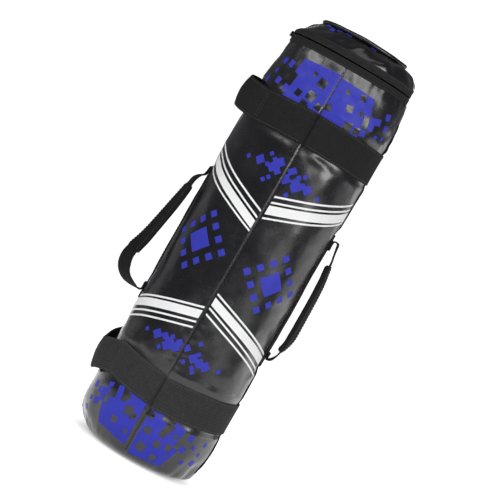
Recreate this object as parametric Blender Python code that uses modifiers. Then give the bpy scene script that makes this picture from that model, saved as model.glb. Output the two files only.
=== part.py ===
"""A soft weighted training bag: a filled vinyl cylinder with a zipped lid, webbing bands and hand straps.

Metres, +Z up. The origin is the centre of the flat base, and the bag's front seam faces -Y.
An azimuth is measured in degrees round the bag from the front seam, positive towards +X.
"""

import math

import bmesh
import bpy
from mathutils import Matrix, Vector

# Shell
BAG_RADIUS = 0.104
BAG_HEIGHT = 0.695
BASE_CORNER_HEIGHT = 0.056
BASE_CORNER_DEPTH = 0.042
BASE_HEM = 0.004
MOUTH_DRAW_IN = 0.006
SHOULDER_HEIGHT = 0.075
SHELL_WALL = 0.0020
SEAM_TAPE_WIDTH = 0.024
SEAM_TAPE_THICKNESS = 0.0010

# Clearance between pieces that are sewn or laid against each other
SEAM_GAP = 0.0003

# Lid above the zip
LID_RISE = 0.0215
LID_DRAW_IN = 0.0275
LID_BULGE = 0.0035
LID_FOOT_INSET = 0.0035
PIPING_RADIUS = 0.0034
LID_FOAM_MARGIN = 0.0055
LID_FOAM_THICKNESS = 0.010

# Zip
ZIP_TAPE_WIDTH = 0.0110
ZIP_TAPE_THICKNESS = 0.0012
ZIP_CHANNEL = 0.0022
ZIP_TEETH_HEIGHT = 0.0030
ZIP_TEETH_DEPTH = 0.0024
ZIP_END_AZIMUTH = 160.0
STOP_WIDTH = 0.0030
STOP_HEIGHT = 0.0050
STOP_DEPTH = 0.0015

# Zip slider and its pull
SLIDER_AZIMUTH = -115.0
SLIDER_LENGTH = 0.018
SLIDER_HEIGHT = 0.012
SLIDER_PLATE = 0.0020
SLIDER_RUNNING_GAP = 0.0007
NECK_LENGTH = 0.0045
NECK_CLEARANCE = 0.0004
BAIL_SPAN = 0.012
BAIL_WIDTH = 0.0024
BAIL_BAR = 0.0014
PULL_PIN = 0.0014
PULL_PLAY = 0.0005
PULL_LENGTH = 0.028
PULL_WIDTH = 0.0090
PULL_SLOT_PLAY = 0.0008

# Webbing bands with their hand loops
BAND_WIDTH = 0.050
BAND_THICKNESS = 0.0022
UPPER_BAND_DROP = 0.156
LOWER_BAND_HEIGHT = 0.111
LOOP_AZIMUTH = -90.0
LOOP_HALF_ANGLE = 41.0
LOOP_REACH = 0.0175

# Side handles
HANDLE_MIDDLE_SHARE = 0.455
HANDLE_SPAN = 0.1955
STRAP_WIDTH = 0.030
STRAP_THICKNESS = 0.0024
BACKING_WIDTH = 0.038
BACKING_THICKNESS = 0.0020
BACKING_OVERHANG = 0.013
SEWN_TAB = 0.011
LEFT_TAIL_REACH = 0.0140
RIGHT_TAIL_REACH = 0.0070
GRIP_WIDTH = 0.033
GRIP_THICKNESS = 0.0042
GRIP_ROUNDING = 0.0016
LEFT_SWING = 18.0
RIGHT_SWING = 0.0

# How far each handle stands off, and its line: shares of that reach, and of the span below the upper seam
LEFT_REACH = 0.0465
LEFT_LINE = [
    (0.06, 0.015), (0.18, 0.045), (0.29, 0.09), (0.35, 0.165), (0.54, 0.39), (0.775, 0.635),
    (0.94, 0.757), (1.0, 0.84), (0.90, 0.925), (0.67, 0.98), (0.31, 1.01), (0.08, 1.012),
]
RIGHT_REACH = 0.0171
RIGHT_LINE = [
    (0.02, -0.030), (0.18, -0.023), (0.33, -0.024), (0.41, -0.008), (0.44, 0.018), (0.56, 0.085),
    (0.65, 0.118), (0.79, 0.2265), (0.88, 0.2935), (0.965, 0.4357), (1.0, 0.644), (1.0, 0.762),
    (0.91, 0.823), (0.70, 0.887), (0.57, 0.928), (0.345, 0.972), (0.18, 0.984),
]
LEFT_GRIP = (0.135, 0.78)
RIGHT_GRIP = (0.143, 0.88)

# Inside
LINER_THICKNESS = 0.0050
BASE_FOAM_THICKNESS = 0.012
FILLER_COUNT = 3
FILLER_CORNER = 0.022
FILLER_CROWN = 0.006
FILLER_HEADROOM = 0.034
CLOSURE_LENGTH = 0.110
CLOSURE_WIDTH = 0.040
CLOSURE_THICKNESS = 0.0016
CLOSURE_OFFSET = 0.030
LOOP_LENGTH = 0.056
LOOP_WIDTH = 0.022
LOOP_RISE = 0.0060
LOOP_STRAP = 0.0016
LOOP_OFFSET = 0.030

# Facets
SEGMENTS_PER_TURN = 48
CURVE_STEPS = 3

# Levels that follow from the sizes above, from the top down
PIPING_LEVEL = BAG_HEIGHT - PIPING_RADIUS
LID_TOP = PIPING_LEVEL - PIPING_RADIUS - SEAM_GAP
LID_FOOT = LID_TOP - LID_RISE
UPPER_TAPE_TOP = LID_FOOT - SEAM_GAP
UPPER_TAPE_FOOT = UPPER_TAPE_TOP - ZIP_TAPE_WIDTH
ZIP_LEVEL = UPPER_TAPE_FOOT - ZIP_CHANNEL / 2
LOWER_TAPE_TOP = ZIP_LEVEL - ZIP_CHANNEL / 2
LOWER_TAPE_FOOT = LOWER_TAPE_TOP - ZIP_TAPE_WIDTH
SHELL_TOP = LOWER_TAPE_FOOT - SEAM_GAP
SHOULDER_FOOT = SHELL_TOP - SHOULDER_HEIGHT
UPPER_BAND_HEIGHT = BAG_HEIGHT - UPPER_BAND_DROP
HANDLE_TOP = BAG_HEIGHT * HANDLE_MIDDLE_SHARE + HANDLE_SPAN / 2

# Radii that follow from the sizes above
MOUTH_RADIUS = BAG_RADIUS - MOUTH_DRAW_IN
LID_RIM_RADIUS = MOUTH_RADIUS - LID_DRAW_IN
BASE_RADIUS = BAG_RADIUS - BASE_CORNER_DEPTH - BASE_HEM
SEAM_TAPE_RADIUS = BAG_RADIUS - SHELL_WALL - SEAM_GAP
LINER_RADIUS = SEAM_TAPE_RADIUS - SEAM_TAPE_THICKNESS - SEAM_GAP
FILLER_RADIUS = LINER_RADIUS - LINER_THICKNESS - SEAM_GAP
LID_FOOT_RADIUS = MOUTH_RADIUS - LID_FOOT_INSET
PIPING_RING_RADIUS = LID_RIM_RADIUS - PIPING_RADIUS
TEETH_RADIUS = MOUTH_RADIUS - ZIP_TAPE_THICKNESS - SEAM_GAP
BAND_RADIUS = BAG_RADIUS + SEAM_GAP + BAND_THICKNESS / 2
BACKING_RADIUS = BAG_RADIUS + SEAM_GAP + BACKING_THICKNESS
HANDLE_RADIUS = BACKING_RADIUS + SEAM_GAP + STRAP_THICKNESS / 2

# Colour, roughness and metallic value of each finish
FINISHES = {
    "vinyl": ((0.016, 0.016, 0.018), 0.24, 0.0),
    "webbing": ((0.012, 0.012, 0.013), 0.85, 0.0),
    "zip_tape": ((0.010, 0.010, 0.011), 0.80, 0.0),
    "zip_teeth": ((0.008, 0.008, 0.009), 0.45, 0.0),
    "zip_metal": ((0.20, 0.20, 0.21), 0.35, 1.0),
    "foam": ((0.30, 0.30, 0.31), 0.95, 0.0),
    "filler_cloth": ((0.045, 0.048, 0.055), 0.90, 0.0),
}


def clear_scene():
    for obj in list(bpy.data.objects):
        bpy.data.objects.remove(obj, do_unlink=True)


def new_collection(name):
    collection = bpy.data.collections.new(name)
    bpy.context.scene.collection.children.link(collection)
    return collection


def finish_material(name, finish):
    colour, roughness, metallic = FINISHES[finish]
    material = bpy.data.materials.new(name)
    material.use_nodes = True
    shader = material.node_tree.nodes["Principled BSDF"]
    shader.inputs["Base Color"].default_value = (*colour, 1.0)
    shader.inputs["Roughness"].default_value = roughness
    shader.inputs["Metallic"].default_value = metallic
    material.diffuse_color = (*colour, 1.0)
    return material


def add_object(name, mesh, finish, parent=None):
    """Puts a mesh in the scene as one named sub-part with its own material."""
    obj = bpy.data.objects.new(name, mesh)
    mesh.materials.append(finish_material(name, finish))
    PARTS.objects.link(obj)
    obj.parent = parent
    return obj


def add_empty(name, location, turn):
    """A pivot that carries the pieces of a moving body. The turn about Z is in degrees."""
    empty = bpy.data.objects.new(name, None)
    empty.location = location
    empty.rotation_euler.z = math.radians(turn)
    PARTS.objects.link(empty)
    return empty


def mesh_from(name, build):
    """Runs a function on a new bmesh and returns the mesh."""
    bm = bmesh.new()
    build(bm)
    mesh = bpy.data.meshes.new(name)
    bm.to_mesh(mesh)
    bm.free()
    return mesh


def smooth_shade(mesh, sharp_angle=35.0):
    mesh.shade_smooth()
    mesh.set_sharp_from_angle(angle=math.radians(sharp_angle))


def arc_steps(sweep):
    return max(2, math.ceil(abs(sweep) / 360.0 * SEGMENTS_PER_TURN))


def add_line(bm, points):
    verts = [bm.verts.new(point) for point in points]
    return [bm.edges.new(pair) for pair in zip(verts, verts[1:])]


def turned(name, profile, finish, start=0.0, sweep=360.0, wall=None, parent=None):
    """A profile of (radius, height) points, outer side from top to bottom, swept round the bag.

    With a wall, the swept surface is thickened inwards. Without one, the profile starts and ends on the axis.
    """
    mesh = mesh_from(name, lambda bm: add_line(bm, [(r, 0.0, z) for r, z in profile]))
    obj = add_object(name, mesh, finish, parent)
    obj.rotation_euler.z = math.radians(start - 90.0)
    screw = obj.modifiers.new("sweep", "SCREW")
    screw.axis = "Z"
    screw.angle = math.radians(sweep)
    screw.steps = arc_steps(sweep)
    screw.render_steps = screw.steps
    screw.use_smooth_shade = True
    if sweep == 360.0:
        screw.use_merge_vertices = True
        screw.merge_threshold = 0.00001
    if wall:
        solidify = obj.modifiers.new("wall", "SOLIDIFY")
        solidify.thickness = wall
        solidify.offset = -1.0
        solidify.use_even_offset = True
    return obj


def disc(name, radius, foot, thickness, finish, parent=None):
    def build(bm):
        bmesh.ops.create_cone(
            bm, cap_ends=True, segments=SEGMENTS_PER_TURN, radius1=radius, radius2=radius, depth=thickness
        )

    obj = add_object(name, mesh_from(name, build), finish, parent)
    obj.location.z = foot + thickness / 2
    return obj


def strip(name, line, across, thickness, finish, parent=None, even=True):
    """A strap along a line of points, which runs along its middle. The vector across is the strap's width."""
    across = Vector(across)

    def build(bm):
        edges = add_line(bm, [Vector(point) - across / 2 for point in line])
        made = bmesh.ops.extrude_edge_only(bm, edges=edges)
        verts = [item for item in made["geom"] if isinstance(item, bmesh.types.BMVert)]
        bmesh.ops.translate(bm, verts=verts, vec=across)
        bmesh.ops.recalc_face_normals(bm, faces=bm.faces)

    obj = add_object(name, mesh_from(name, build), finish, parent)
    solidify = obj.modifiers.new("thickness", "SOLIDIFY")
    solidify.thickness = thickness
    solidify.offset = 0.0
    solidify.use_even_offset = even
    return obj


def add_box(bm, low, high):
    size = Vector(high) - Vector(low)
    centre = (Vector(high) + Vector(low)) / 2
    matrix = Matrix.Translation(centre) @ Matrix.Diagonal((*size, 1.0))
    bmesh.ops.create_cube(bm, size=1.0, matrix=matrix)


def cutter_box(name, low, high, parent):
    obj = bpy.data.objects.new(name, mesh_from(name, lambda bm: add_box(bm, low, high)))
    CUTTERS.objects.link(obj)
    obj.parent = parent
    obj.hide_render = True
    obj.display_type = "WIRE"
    return obj


def boolean(obj, operation, other):
    modifier = obj.modifiers.new(other.name, "BOOLEAN")
    modifier.operation = operation
    modifier.object = other


def on_circle(radius, azimuth, height=0.0):
    angle = math.radians(azimuth)
    return Vector((radius * math.sin(angle), -radius * math.cos(angle), height))


def smooth_line(points):
    """A Catmull-Rom curve through the points, with CURVE_STEPS pieces to each span."""
    points = [Vector(point) for point in points]
    padded = [2 * points[0] - points[1], *points, 2 * points[-1] - points[-2]]
    line = [points[0]]
    for a, b, c, d in zip(padded, padded[1:], padded[2:], padded[3:]):
        for step in range(1, CURVE_STEPS + 1):
            t = step / CURVE_STEPS
            cubic = (3 * b - a - 3 * c + d) * t**3
            square = (2 * a - 5 * b + 4 * c - d) * t**2
            line.append((2 * b + (c - a) * t + square + cubic) / 2)
    return line


def shell_profile():
    """The outer side of the filled shell, from the zip down to the edge of the base panel."""
    count = 4
    shoulder = []
    for i in range(count + 1):
        share = i / count
        draw_in = (BAG_RADIUS - MOUTH_RADIUS) * (1 - share) ** 1.6
        shoulder.append((BAG_RADIUS - draw_in, SHELL_TOP - SHOULDER_HEIGHT * share))
    corner = []
    flat = BASE_RADIUS + BASE_HEM
    steps = 6
    for i in range(steps + 1):
        angle = math.radians(90.0 * i / steps)
        radius = flat + (BAG_RADIUS - flat) * math.cos(angle)
        corner.append((radius, BASE_CORNER_HEIGHT * (1 - math.sin(angle))))
    return [*shoulder, *corner, (BASE_RADIUS, 0.0)]


def build_shell():
    """Two vinyl side panels that meet at the front and back seams, and the round base panel."""
    gap = math.degrees(SEAM_GAP / BAG_RADIUS)
    profile = shell_profile()
    turned("shell_panel_right", profile, "vinyl", gap / 2, 180.0 - gap, SHELL_WALL)
    turned("shell_panel_left", profile, "vinyl", 180.0 + gap / 2, 180.0 - gap, SHELL_WALL)
    disc("base_panel", BASE_RADIUS - SEAM_GAP, 0.0, SHELL_WALL, "vinyl")
    tape = [(SEAM_TAPE_RADIUS, SHOULDER_FOOT), (SEAM_TAPE_RADIUS, BASE_CORNER_HEIGHT)]
    sweep = math.degrees(SEAM_TAPE_WIDTH / SEAM_TAPE_RADIUS)
    for name, azimuth in (("front_seam_tape", 0.0), ("back_seam_tape", 180.0)):
        turned(name, tape, "webbing", azimuth - sweep / 2, sweep, SEAM_TAPE_THICKNESS)


def build_bands():
    """Four lengths of webbing, two near the top and two near the base. The left ones stand off as loops."""
    gap = math.degrees(SEAM_GAP / BAG_RADIUS)
    start, end = gap / 2, 180.0 - gap / 2
    steps = arc_steps(end - start)
    azimuths = [start + (end - start) * i / steps for i in range(steps + 1)]

    def radius(azimuth):
        share = (azimuth - LOOP_AZIMUTH) / LOOP_HALF_ANGLE
        return BAND_RADIUS + LOOP_REACH * max(0.0, 1 - share**2)

    across = (0.0, 0.0, BAND_WIDTH)
    for level, height in (("upper", UPPER_BAND_HEIGHT), ("lower", LOWER_BAND_HEIGHT)):
        right = [on_circle(BAND_RADIUS, azimuth, height) for azimuth in azimuths]
        left = [on_circle(radius(-azimuth), -azimuth, height) for azimuth in azimuths]
        strip(f"{level}_band_right", right, across, BAND_THICKNESS, "webbing")
        strip(f"{level}_band_left", left, across, BAND_THICKNESS, "webbing")


def cut_line(line, reach):
    """Splits a handle's line where it passes the reach: upper tail, free middle and lower tail."""

    def split(limit):
        beyond = [i for i, point in enumerate(line) if point.x > limit]
        first, last = beyond[0], beyond[-1]
        ends = []
        for inner, outer in ((line[first - 1], line[first]), (line[last + 1], line[last])):
            share = (limit - inner.x) / (outer.x - inner.x)
            ends.append(inner.lerp(outer, share))
        return first, last, ends

    def without_slivers(points):
        start, end = points[0], points[-1]
        kept = [p for p in points[1:-1] if min((p - start).length, (p - end).length) > SEAM_GAP]
        return [start, *kept, end]

    first, last, ends = split(reach)
    middle = [ends[0], *line[first : last + 1], ends[1]]
    first, last, ends = split(reach - SEAM_GAP)
    tails = [*line[:first], ends[0]], [ends[1], *line[last + 1 :]]
    return without_slivers(tails[0]), without_slivers(middle), without_slivers(tails[1])


def stretch_between(line, high, low):
    """The part of a falling line between two heights."""

    def point_at(height):
        for start, end in zip(line, line[1:]):
            if start.z >= height >= end.z:
                return start.lerp(end, (start.z - height) / (start.z - end.z))

    margin = SEAM_GAP
    inner = [point for point in line if low + margin < point.z < high - margin]
    return [point_at(high), *inner, point_at(low)]


def offset_line(line, distance):
    """The line moved sideways in its own plane, towards the bag for a positive distance."""
    normals = []
    for start, end in zip(line, line[1:]):
        along = (end - start).normalized()
        normals.append(Vector((along.z, 0.0, -along.x)))
    moved = []
    for point, before, after in zip(line, [normals[0], *normals], [*normals, normals[-1]]):
        moved.append(point + (before + after) * distance / (1 + before.dot(after)))
    return moved


def twist_tail(obj, swing, tail_reach):
    """Turns a tail's points about the pivot line, from none at the seam to the full swing at its free end."""
    for vert in obj.data.vertices:
        share = min(1.0, max(0.0, vert.co.x / tail_reach))
        turn = math.radians(swing) * share * share * (3 - 2 * share)
        vert.co = Matrix.Rotation(turn, 3, "Z") @ vert.co


def build_handle(side, azimuth, swing, reach, tail_reach, free_line, grip_share):
    """One side handle: the backing sewn to the bag, two sewn tails, the free strap and its padded grip.

    In the handle's own frame, x is the reach from the pivot line and y runs round the bag.
    """
    lower_seam = HANDLE_TOP - HANDLE_SPAN
    sweep = math.degrees(BACKING_WIDTH / BACKING_RADIUS)
    backing_ends = (HANDLE_TOP + BACKING_OVERHANG, lower_seam - BACKING_OVERHANG)
    backing = [(BACKING_RADIUS, height) for height in backing_ends]
    turned(f"{side}_handle_backing", backing, "webbing", azimuth - sweep / 2, sweep, BACKING_THICKNESS)

    pivot = on_circle(HANDLE_RADIUS, azimuth)
    turn = azimuth - 90.0
    seam = add_empty(f"{side}_handle_seam", pivot, turn)
    swinging = add_empty(f"{side}_handle_pivot", pivot, turn + swing)

    points = [(0.0, 0.0, HANDLE_TOP + SEWN_TAB)]
    points += [(reach * out, 0.0, HANDLE_TOP - HANDLE_SPAN * drop) for out, drop in free_line]
    points += [(0.0, 0.0, lower_seam - SEWN_TAB)]
    upper_tail, middle, lower_tail = cut_line(smooth_line(points), tail_reach)

    across = (0.0, STRAP_WIDTH, 0.0)
    for level, line in (("upper", upper_tail), ("lower", lower_tail)):
        name = f"{side}_handle_{level}_tail"
        tail = strip(name, line, across, STRAP_THICKNESS, "webbing", seam, even=False)
        twist_tail(tail, swing, tail_reach)
    strip(f"{side}_handle_strap", middle, across, STRAP_THICKNESS, "webbing", swinging)

    high, low = (HANDLE_TOP - HANDLE_SPAN * share for share in grip_share)
    inset = STRAP_THICKNESS / 2 + SEAM_GAP + GRIP_THICKNESS / 2
    pad = offset_line(stretch_between(middle, high, low), inset)
    grip = strip(f"{side}_handle_grip", pad, (0.0, GRIP_WIDTH, 0.0), GRIP_THICKNESS, "webbing", swinging)
    bevel = grip.modifiers.new("rounding", "BEVEL")
    bevel.width = GRIP_ROUNDING
    bevel.segments = 2
    bevel.angle_limit = math.radians(50.0)


def build_zip():
    """Two woven tapes with their rows of teeth, the end stops, and the strip that hinges the lid."""
    sweep = 2 * ZIP_END_AZIMUTH
    start = -ZIP_END_AZIMUTH
    lower = [(MOUTH_RADIUS, LOWER_TAPE_TOP), (MOUTH_RADIUS, LOWER_TAPE_FOOT)]
    bend = UPPER_TAPE_FOOT + ZIP_TAPE_WIDTH / 2
    upper = [(LID_FOOT_RADIUS, UPPER_TAPE_TOP), (MOUTH_RADIUS, bend), (MOUTH_RADIUS, UPPER_TAPE_FOOT)]
    turned("zip_tape_lower", lower, "zip_tape", start, sweep, ZIP_TAPE_THICKNESS)
    turned("zip_tape_upper", upper, "zip_tape", start, sweep, ZIP_TAPE_THICKNESS)
    for level, foot in (("lower", LOWER_TAPE_TOP - ZIP_TEETH_HEIGHT), ("upper", UPPER_TAPE_FOOT)):
        teeth = [(TEETH_RADIUS, foot + ZIP_TEETH_HEIGHT), (TEETH_RADIUS, foot)]
        turned(f"zip_teeth_{level}", teeth, "zip_teeth", start, sweep, ZIP_TEETH_DEPTH)

    gap = math.degrees(SEAM_GAP / MOUTH_RADIUS)
    hinge = [*upper[:2], lower[1]]
    hinge_sweep = 360.0 - sweep - 2 * gap
    turned("lid_hinge_strip", hinge, "webbing", ZIP_END_AZIMUTH + gap, hinge_sweep, ZIP_TAPE_THICKNESS)

    near = MOUTH_RADIUS + SEAM_GAP
    inset = math.degrees(STOP_WIDTH / 2 / MOUTH_RADIUS)
    for side, azimuth in (("left", inset - ZIP_END_AZIMUTH), ("right", ZIP_END_AZIMUTH - inset)):
        low = (-STOP_WIDTH / 2, -near - STOP_DEPTH, LOWER_TAPE_TOP - STOP_HEIGHT)
        high = (STOP_WIDTH / 2, -near, LOWER_TAPE_TOP)
        name = f"zip_stop_{side}"
        stop = add_object(name, mesh_from(name, lambda bm: add_box(bm, low, high)), "zip_metal")
        stop.rotation_euler.z = math.radians(azimuth)


def build_slider():
    """The zip slider, whose plates lie outside and inside the tapes, and the pull on its bail.

    Both are drawn at the front, with the radius along -Y, and turned about the bag's axis to their place.
    """
    pivot = add_empty("zip_slider_pivot", (0.0, 0.0, 0.0), SLIDER_AZIMUTH)
    half, rise = SLIDER_LENGTH / 2, SLIDER_HEIGHT / 2
    outer_face = MOUTH_RADIUS + SEAM_GAP
    outer_top = outer_face + SLIDER_PLATE
    inner_top = TEETH_RADIUS - ZIP_TEETH_DEPTH - SLIDER_RUNNING_GAP
    inner_foot = inner_top - SLIDER_PLATE

    def block(name, x, radius, height):
        low = (x[0], -radius[1], ZIP_LEVEL - height)
        high = (x[1], -radius[0], ZIP_LEVEL + height)
        return cutter_box(name, low, high, pivot)

    plate = (-half, -outer_top, ZIP_LEVEL - rise), (half, -outer_face, ZIP_LEVEL + rise)
    plate_mesh = mesh_from("zip_slider", lambda bm: add_box(bm, *plate))
    slider = add_object("zip_slider", plate_mesh, "zip_metal", pivot)
    neck = (half - NECK_LENGTH, half)
    neck_rise = ZIP_CHANNEL / 2 - NECK_CLEARANCE
    overlap = SLIDER_PLATE / 2
    neck_radii = (inner_foot + overlap, outer_face + overlap)
    boolean(slider, "UNION", block("slider_neck", neck, neck_radii, neck_rise))
    boolean(slider, "UNION", block("slider_inner_plate", (-half, half), (inner_foot, inner_top), rise))

    pin_radius = outer_top + PULL_PLAY + PULL_PIN / 2
    bar_foot = pin_radius + PULL_PIN / 2 + PULL_PLAY
    span = BAIL_SPAN / 2
    bail_radii = (outer_top - overlap, bar_foot + BAIL_BAR)
    bail = block("slider_bail", (-span, span), bail_radii, BAIL_WIDTH / 2)
    eye = (-span + BAIL_BAR, span - BAIL_BAR)
    boolean(bail, "DIFFERENCE", block("slider_bail_eye", eye, (outer_top, bar_foot), BAIL_WIDTH))
    boolean(slider, "UNION", bail)

    pull_pivot = add_empty("zip_pull_pivot", (0.0, -pin_radius, 0.0), 0.0)
    pull_pivot.parent = pivot
    pin = PULL_PIN / 2
    tab = (-pin, -pin, ZIP_LEVEL - PULL_WIDTH / 2), (PULL_LENGTH, pin, ZIP_LEVEL + PULL_WIDTH / 2)
    tab_mesh = mesh_from("zip_pull", lambda bm: add_box(bm, *tab))
    pull = add_object("zip_pull", tab_mesh, "zip_metal", pull_pivot)
    slot_rise = BAIL_WIDTH / 2 + PULL_SLOT_PLAY
    slot_low = (pin, -PULL_PIN, ZIP_LEVEL - slot_rise)
    slot_high = (span + PULL_SLOT_PLAY, PULL_PIN, ZIP_LEVEL + slot_rise)
    boolean(pull, "DIFFERENCE", cutter_box("pull_slot", slot_low, slot_high, pull_pivot))


def build_lid():
    """The lid above the zip: a drawn-in wall, the top panel, the piping round it and a foam disc below."""
    foot = Vector((LID_FOOT_RADIUS, LID_FOOT))
    top = Vector((PIPING_RING_RADIUS, LID_TOP))
    outward = Vector((top.y - foot.y, foot.x - top.x)).normalized()
    bulge = (foot + top) / 2 + outward * LID_BULGE * 2
    count = 4
    shares = [i / count for i in range(count + 1)]
    wall = [top * (1 - t) ** 2 + bulge * 2 * t * (1 - t) + foot * t**2 for t in shares]
    turned("lid_wall", wall, "vinyl", wall=SHELL_WALL)
    panel_radius = PIPING_RING_RADIUS - PIPING_RADIUS - SEAM_GAP
    panel_foot = PIPING_LEVEL - SHELL_WALL / 2
    disc("lid_panel", panel_radius, panel_foot, SHELL_WALL, "vinyl")
    foam_foot = panel_foot - SEAM_GAP - LID_FOAM_THICKNESS
    disc("lid_foam", panel_radius - LID_FOAM_MARGIN, foam_foot, LID_FOAM_THICKNESS, "foam")
    bpy.ops.mesh.primitive_torus_add(
        major_radius=PIPING_RING_RADIUS,
        minor_radius=PIPING_RADIUS,
        major_segments=SEGMENTS_PER_TURN,
        minor_segments=8,
        location=(0.0, 0.0, PIPING_LEVEL),
    )
    piping = bpy.context.object
    piping.name = "lid_piping"
    for collection in list(piping.users_collection):
        collection.objects.unlink(piping)
    PARTS.objects.link(piping)
    piping.data.materials.append(finish_material("lid_piping", "vinyl"))
    smooth_shade(piping.data)


def crown_drop(radius):
    """How far the top of a filler bag lies below its middle, at a radius inside its rounded corner."""
    half = (FILLER_RADIUS - FILLER_CORNER) / 2
    if radius <= half:
        return FILLER_CROWN / 4 * radius / half
    return FILLER_CROWN / 4 * (3 * radius / half - 2)


def filler_profile(foot, top, foot_corner):
    """Half the outline of a filler bag: a crowned top, a straight side and a foot with a flat middle."""
    steps = 3
    crown = top - FILLER_CROWN
    half = (FILLER_RADIUS - FILLER_CORNER) / 2
    outline = [(0.0, top), (half, top - crown_drop(half))]
    for i in range(steps + 1):
        angle = math.radians(90.0 * i / steps)
        radius = FILLER_RADIUS - FILLER_CORNER * (1 - math.sin(angle))
        outline.append((radius, crown - FILLER_CORNER * (1 - math.cos(angle))))
    flat, height = foot_corner
    for i in range(steps + 1):
        angle = math.radians(90.0 * i / steps)
        radius = flat + (FILLER_RADIUS - flat) * math.cos(angle)
        outline.append((radius, foot + height * (1 - math.sin(angle))))
    return [*outline, (0.0, foot)]


def build_inside():
    """The foam that keeps the bag round, and the filler bags, each with a closure flap and a pull loop."""
    liner = [(LINER_RADIUS, SHOULDER_FOOT), (LINER_RADIUS, BASE_CORNER_HEIGHT)]
    turned("foam_liner", liner, "foam", wall=LINER_THICKNESS)
    base_foam_foot = SHELL_WALL + SEAM_GAP
    disc("base_foam", BASE_RADIUS - SEAM_GAP, base_foam_foot, BASE_FOAM_THICKNESS, "foam")

    lowest = base_foam_foot + BASE_FOAM_THICKNESS + SEAM_GAP
    loop_room = loop_foot() + LOOP_RISE + LOOP_STRAP + SEAM_GAP
    pitch = (SHELL_TOP - FILLER_HEADROOM - lowest) / FILLER_COUNT
    levels = ("lower", "middle", "upper")
    for i, level in enumerate(levels[:FILLER_COUNT]):
        foot = lowest + pitch * i
        top = foot + pitch - loop_room
        corner = (FILLER_RADIUS - FILLER_CORNER, FILLER_CORNER)
        if i == 0:
            corner = (BASE_RADIUS - SEAM_GAP, BASE_CORNER_HEIGHT)
        turned(f"filler_bag_{level}", filler_profile(foot, top, corner), "filler_cloth")
        build_closure(level, top)
        build_pull_loop(level, top)


def build_closure(level, top):
    """The flap that shuts a filler bag, lying just clear of the crown in front of the pull loop."""
    foot = top + SEAM_GAP
    low = (-CLOSURE_LENGTH / 2, -CLOSURE_OFFSET - CLOSURE_WIDTH / 2, foot)
    high = (CLOSURE_LENGTH / 2, -CLOSURE_OFFSET + CLOSURE_WIDTH / 2, foot + CLOSURE_THICKNESS)
    name = f"filler_closure_{level}"
    add_object(name, mesh_from(name, lambda bm: add_box(bm, low, high)), "webbing")


def loop_foot():
    """Height of a pull loop's ends above the middle of its filler bag, whose crown falls away below them."""
    inner_corner = math.hypot(LOOP_LENGTH / 2, LOOP_OFFSET - LOOP_WIDTH / 2)
    return SEAM_GAP - crown_drop(inner_corner)


def build_pull_loop(level, top):
    """A low arch of narrow webbing on a filler bag, to draw it out by."""
    half = LOOP_LENGTH / 2
    foot = top + loop_foot() + LOOP_STRAP / 2
    count = 12
    line = []
    for i in range(count + 1):
        share = 2 * i / count - 1
        line.append((half * share, LOOP_OFFSET, foot + LOOP_RISE * (1 - share**2)))
    strip(f"filler_loop_{level}", line, (0.0, LOOP_WIDTH, 0.0), LOOP_STRAP, "webbing")


clear_scene()
PARTS = new_collection("weighted_training_bag")
CUTTERS = new_collection("cutters")
build_shell()
build_bands()
build_handle("left", -90.0, LEFT_SWING, LEFT_REACH, LEFT_TAIL_REACH, LEFT_LINE, LEFT_GRIP)
build_handle("right", 90.0, RIGHT_SWING, RIGHT_REACH, RIGHT_TAIL_REACH, RIGHT_LINE, RIGHT_GRIP)
build_zip()
build_slider()
build_lid()
build_inside()
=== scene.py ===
"""Looks of the weighted training bag: vinyl panels with their print, webbing, handles, zip, lid and fillers.

Metres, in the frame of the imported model. An azimuth runs round the bag from the front seam (-Y), positive
towards +X. A place on the vinyl is given as (x, t): x is the arc length from the front seam, and t is the
length along the side, which is the height where the side is straight.
"""

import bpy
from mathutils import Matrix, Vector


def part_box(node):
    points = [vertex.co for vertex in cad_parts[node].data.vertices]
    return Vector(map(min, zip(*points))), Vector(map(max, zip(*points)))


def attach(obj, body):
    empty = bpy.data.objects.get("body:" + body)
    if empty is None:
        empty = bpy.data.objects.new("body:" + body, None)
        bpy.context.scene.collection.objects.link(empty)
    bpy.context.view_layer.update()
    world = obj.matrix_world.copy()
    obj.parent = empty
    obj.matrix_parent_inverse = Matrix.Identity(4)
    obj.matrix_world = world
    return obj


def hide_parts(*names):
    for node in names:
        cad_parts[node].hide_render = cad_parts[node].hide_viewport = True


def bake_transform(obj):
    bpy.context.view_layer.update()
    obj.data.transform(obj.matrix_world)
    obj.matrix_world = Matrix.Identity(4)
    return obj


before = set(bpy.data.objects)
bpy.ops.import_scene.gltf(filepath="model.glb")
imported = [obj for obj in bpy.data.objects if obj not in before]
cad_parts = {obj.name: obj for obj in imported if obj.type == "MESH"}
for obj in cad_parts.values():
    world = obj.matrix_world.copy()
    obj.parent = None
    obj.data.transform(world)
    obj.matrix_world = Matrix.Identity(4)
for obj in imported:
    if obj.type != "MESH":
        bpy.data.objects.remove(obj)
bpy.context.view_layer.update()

import math

import bmesh
import bpy
import numpy as np
from mathutils import Matrix, Vector

# Sizes read from the frame
SHELL_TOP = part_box("shell_panel_right")[1].z
BASE_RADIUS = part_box("base_panel")[1].x
LOWER_TAPE_FOOT, LOWER_TAPE_TOP = (corner.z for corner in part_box("zip_tape_lower"))
UPPER_TAPE_FOOT, UPPER_TAPE_TOP = (corner.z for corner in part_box("zip_tape_upper"))
LID_FOOT, LID_TOP = (corner.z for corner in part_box("lid_wall"))
PIPING_FOOT, PIPING_TOP = (corner.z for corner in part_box("lid_piping"))
PIPING_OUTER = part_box("lid_piping")[1].x
PANEL_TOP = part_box("lid_panel")[1].z
BACKING_FOOT, BACKING_TOP = (corner.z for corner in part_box("right_handle_backing"))

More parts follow.
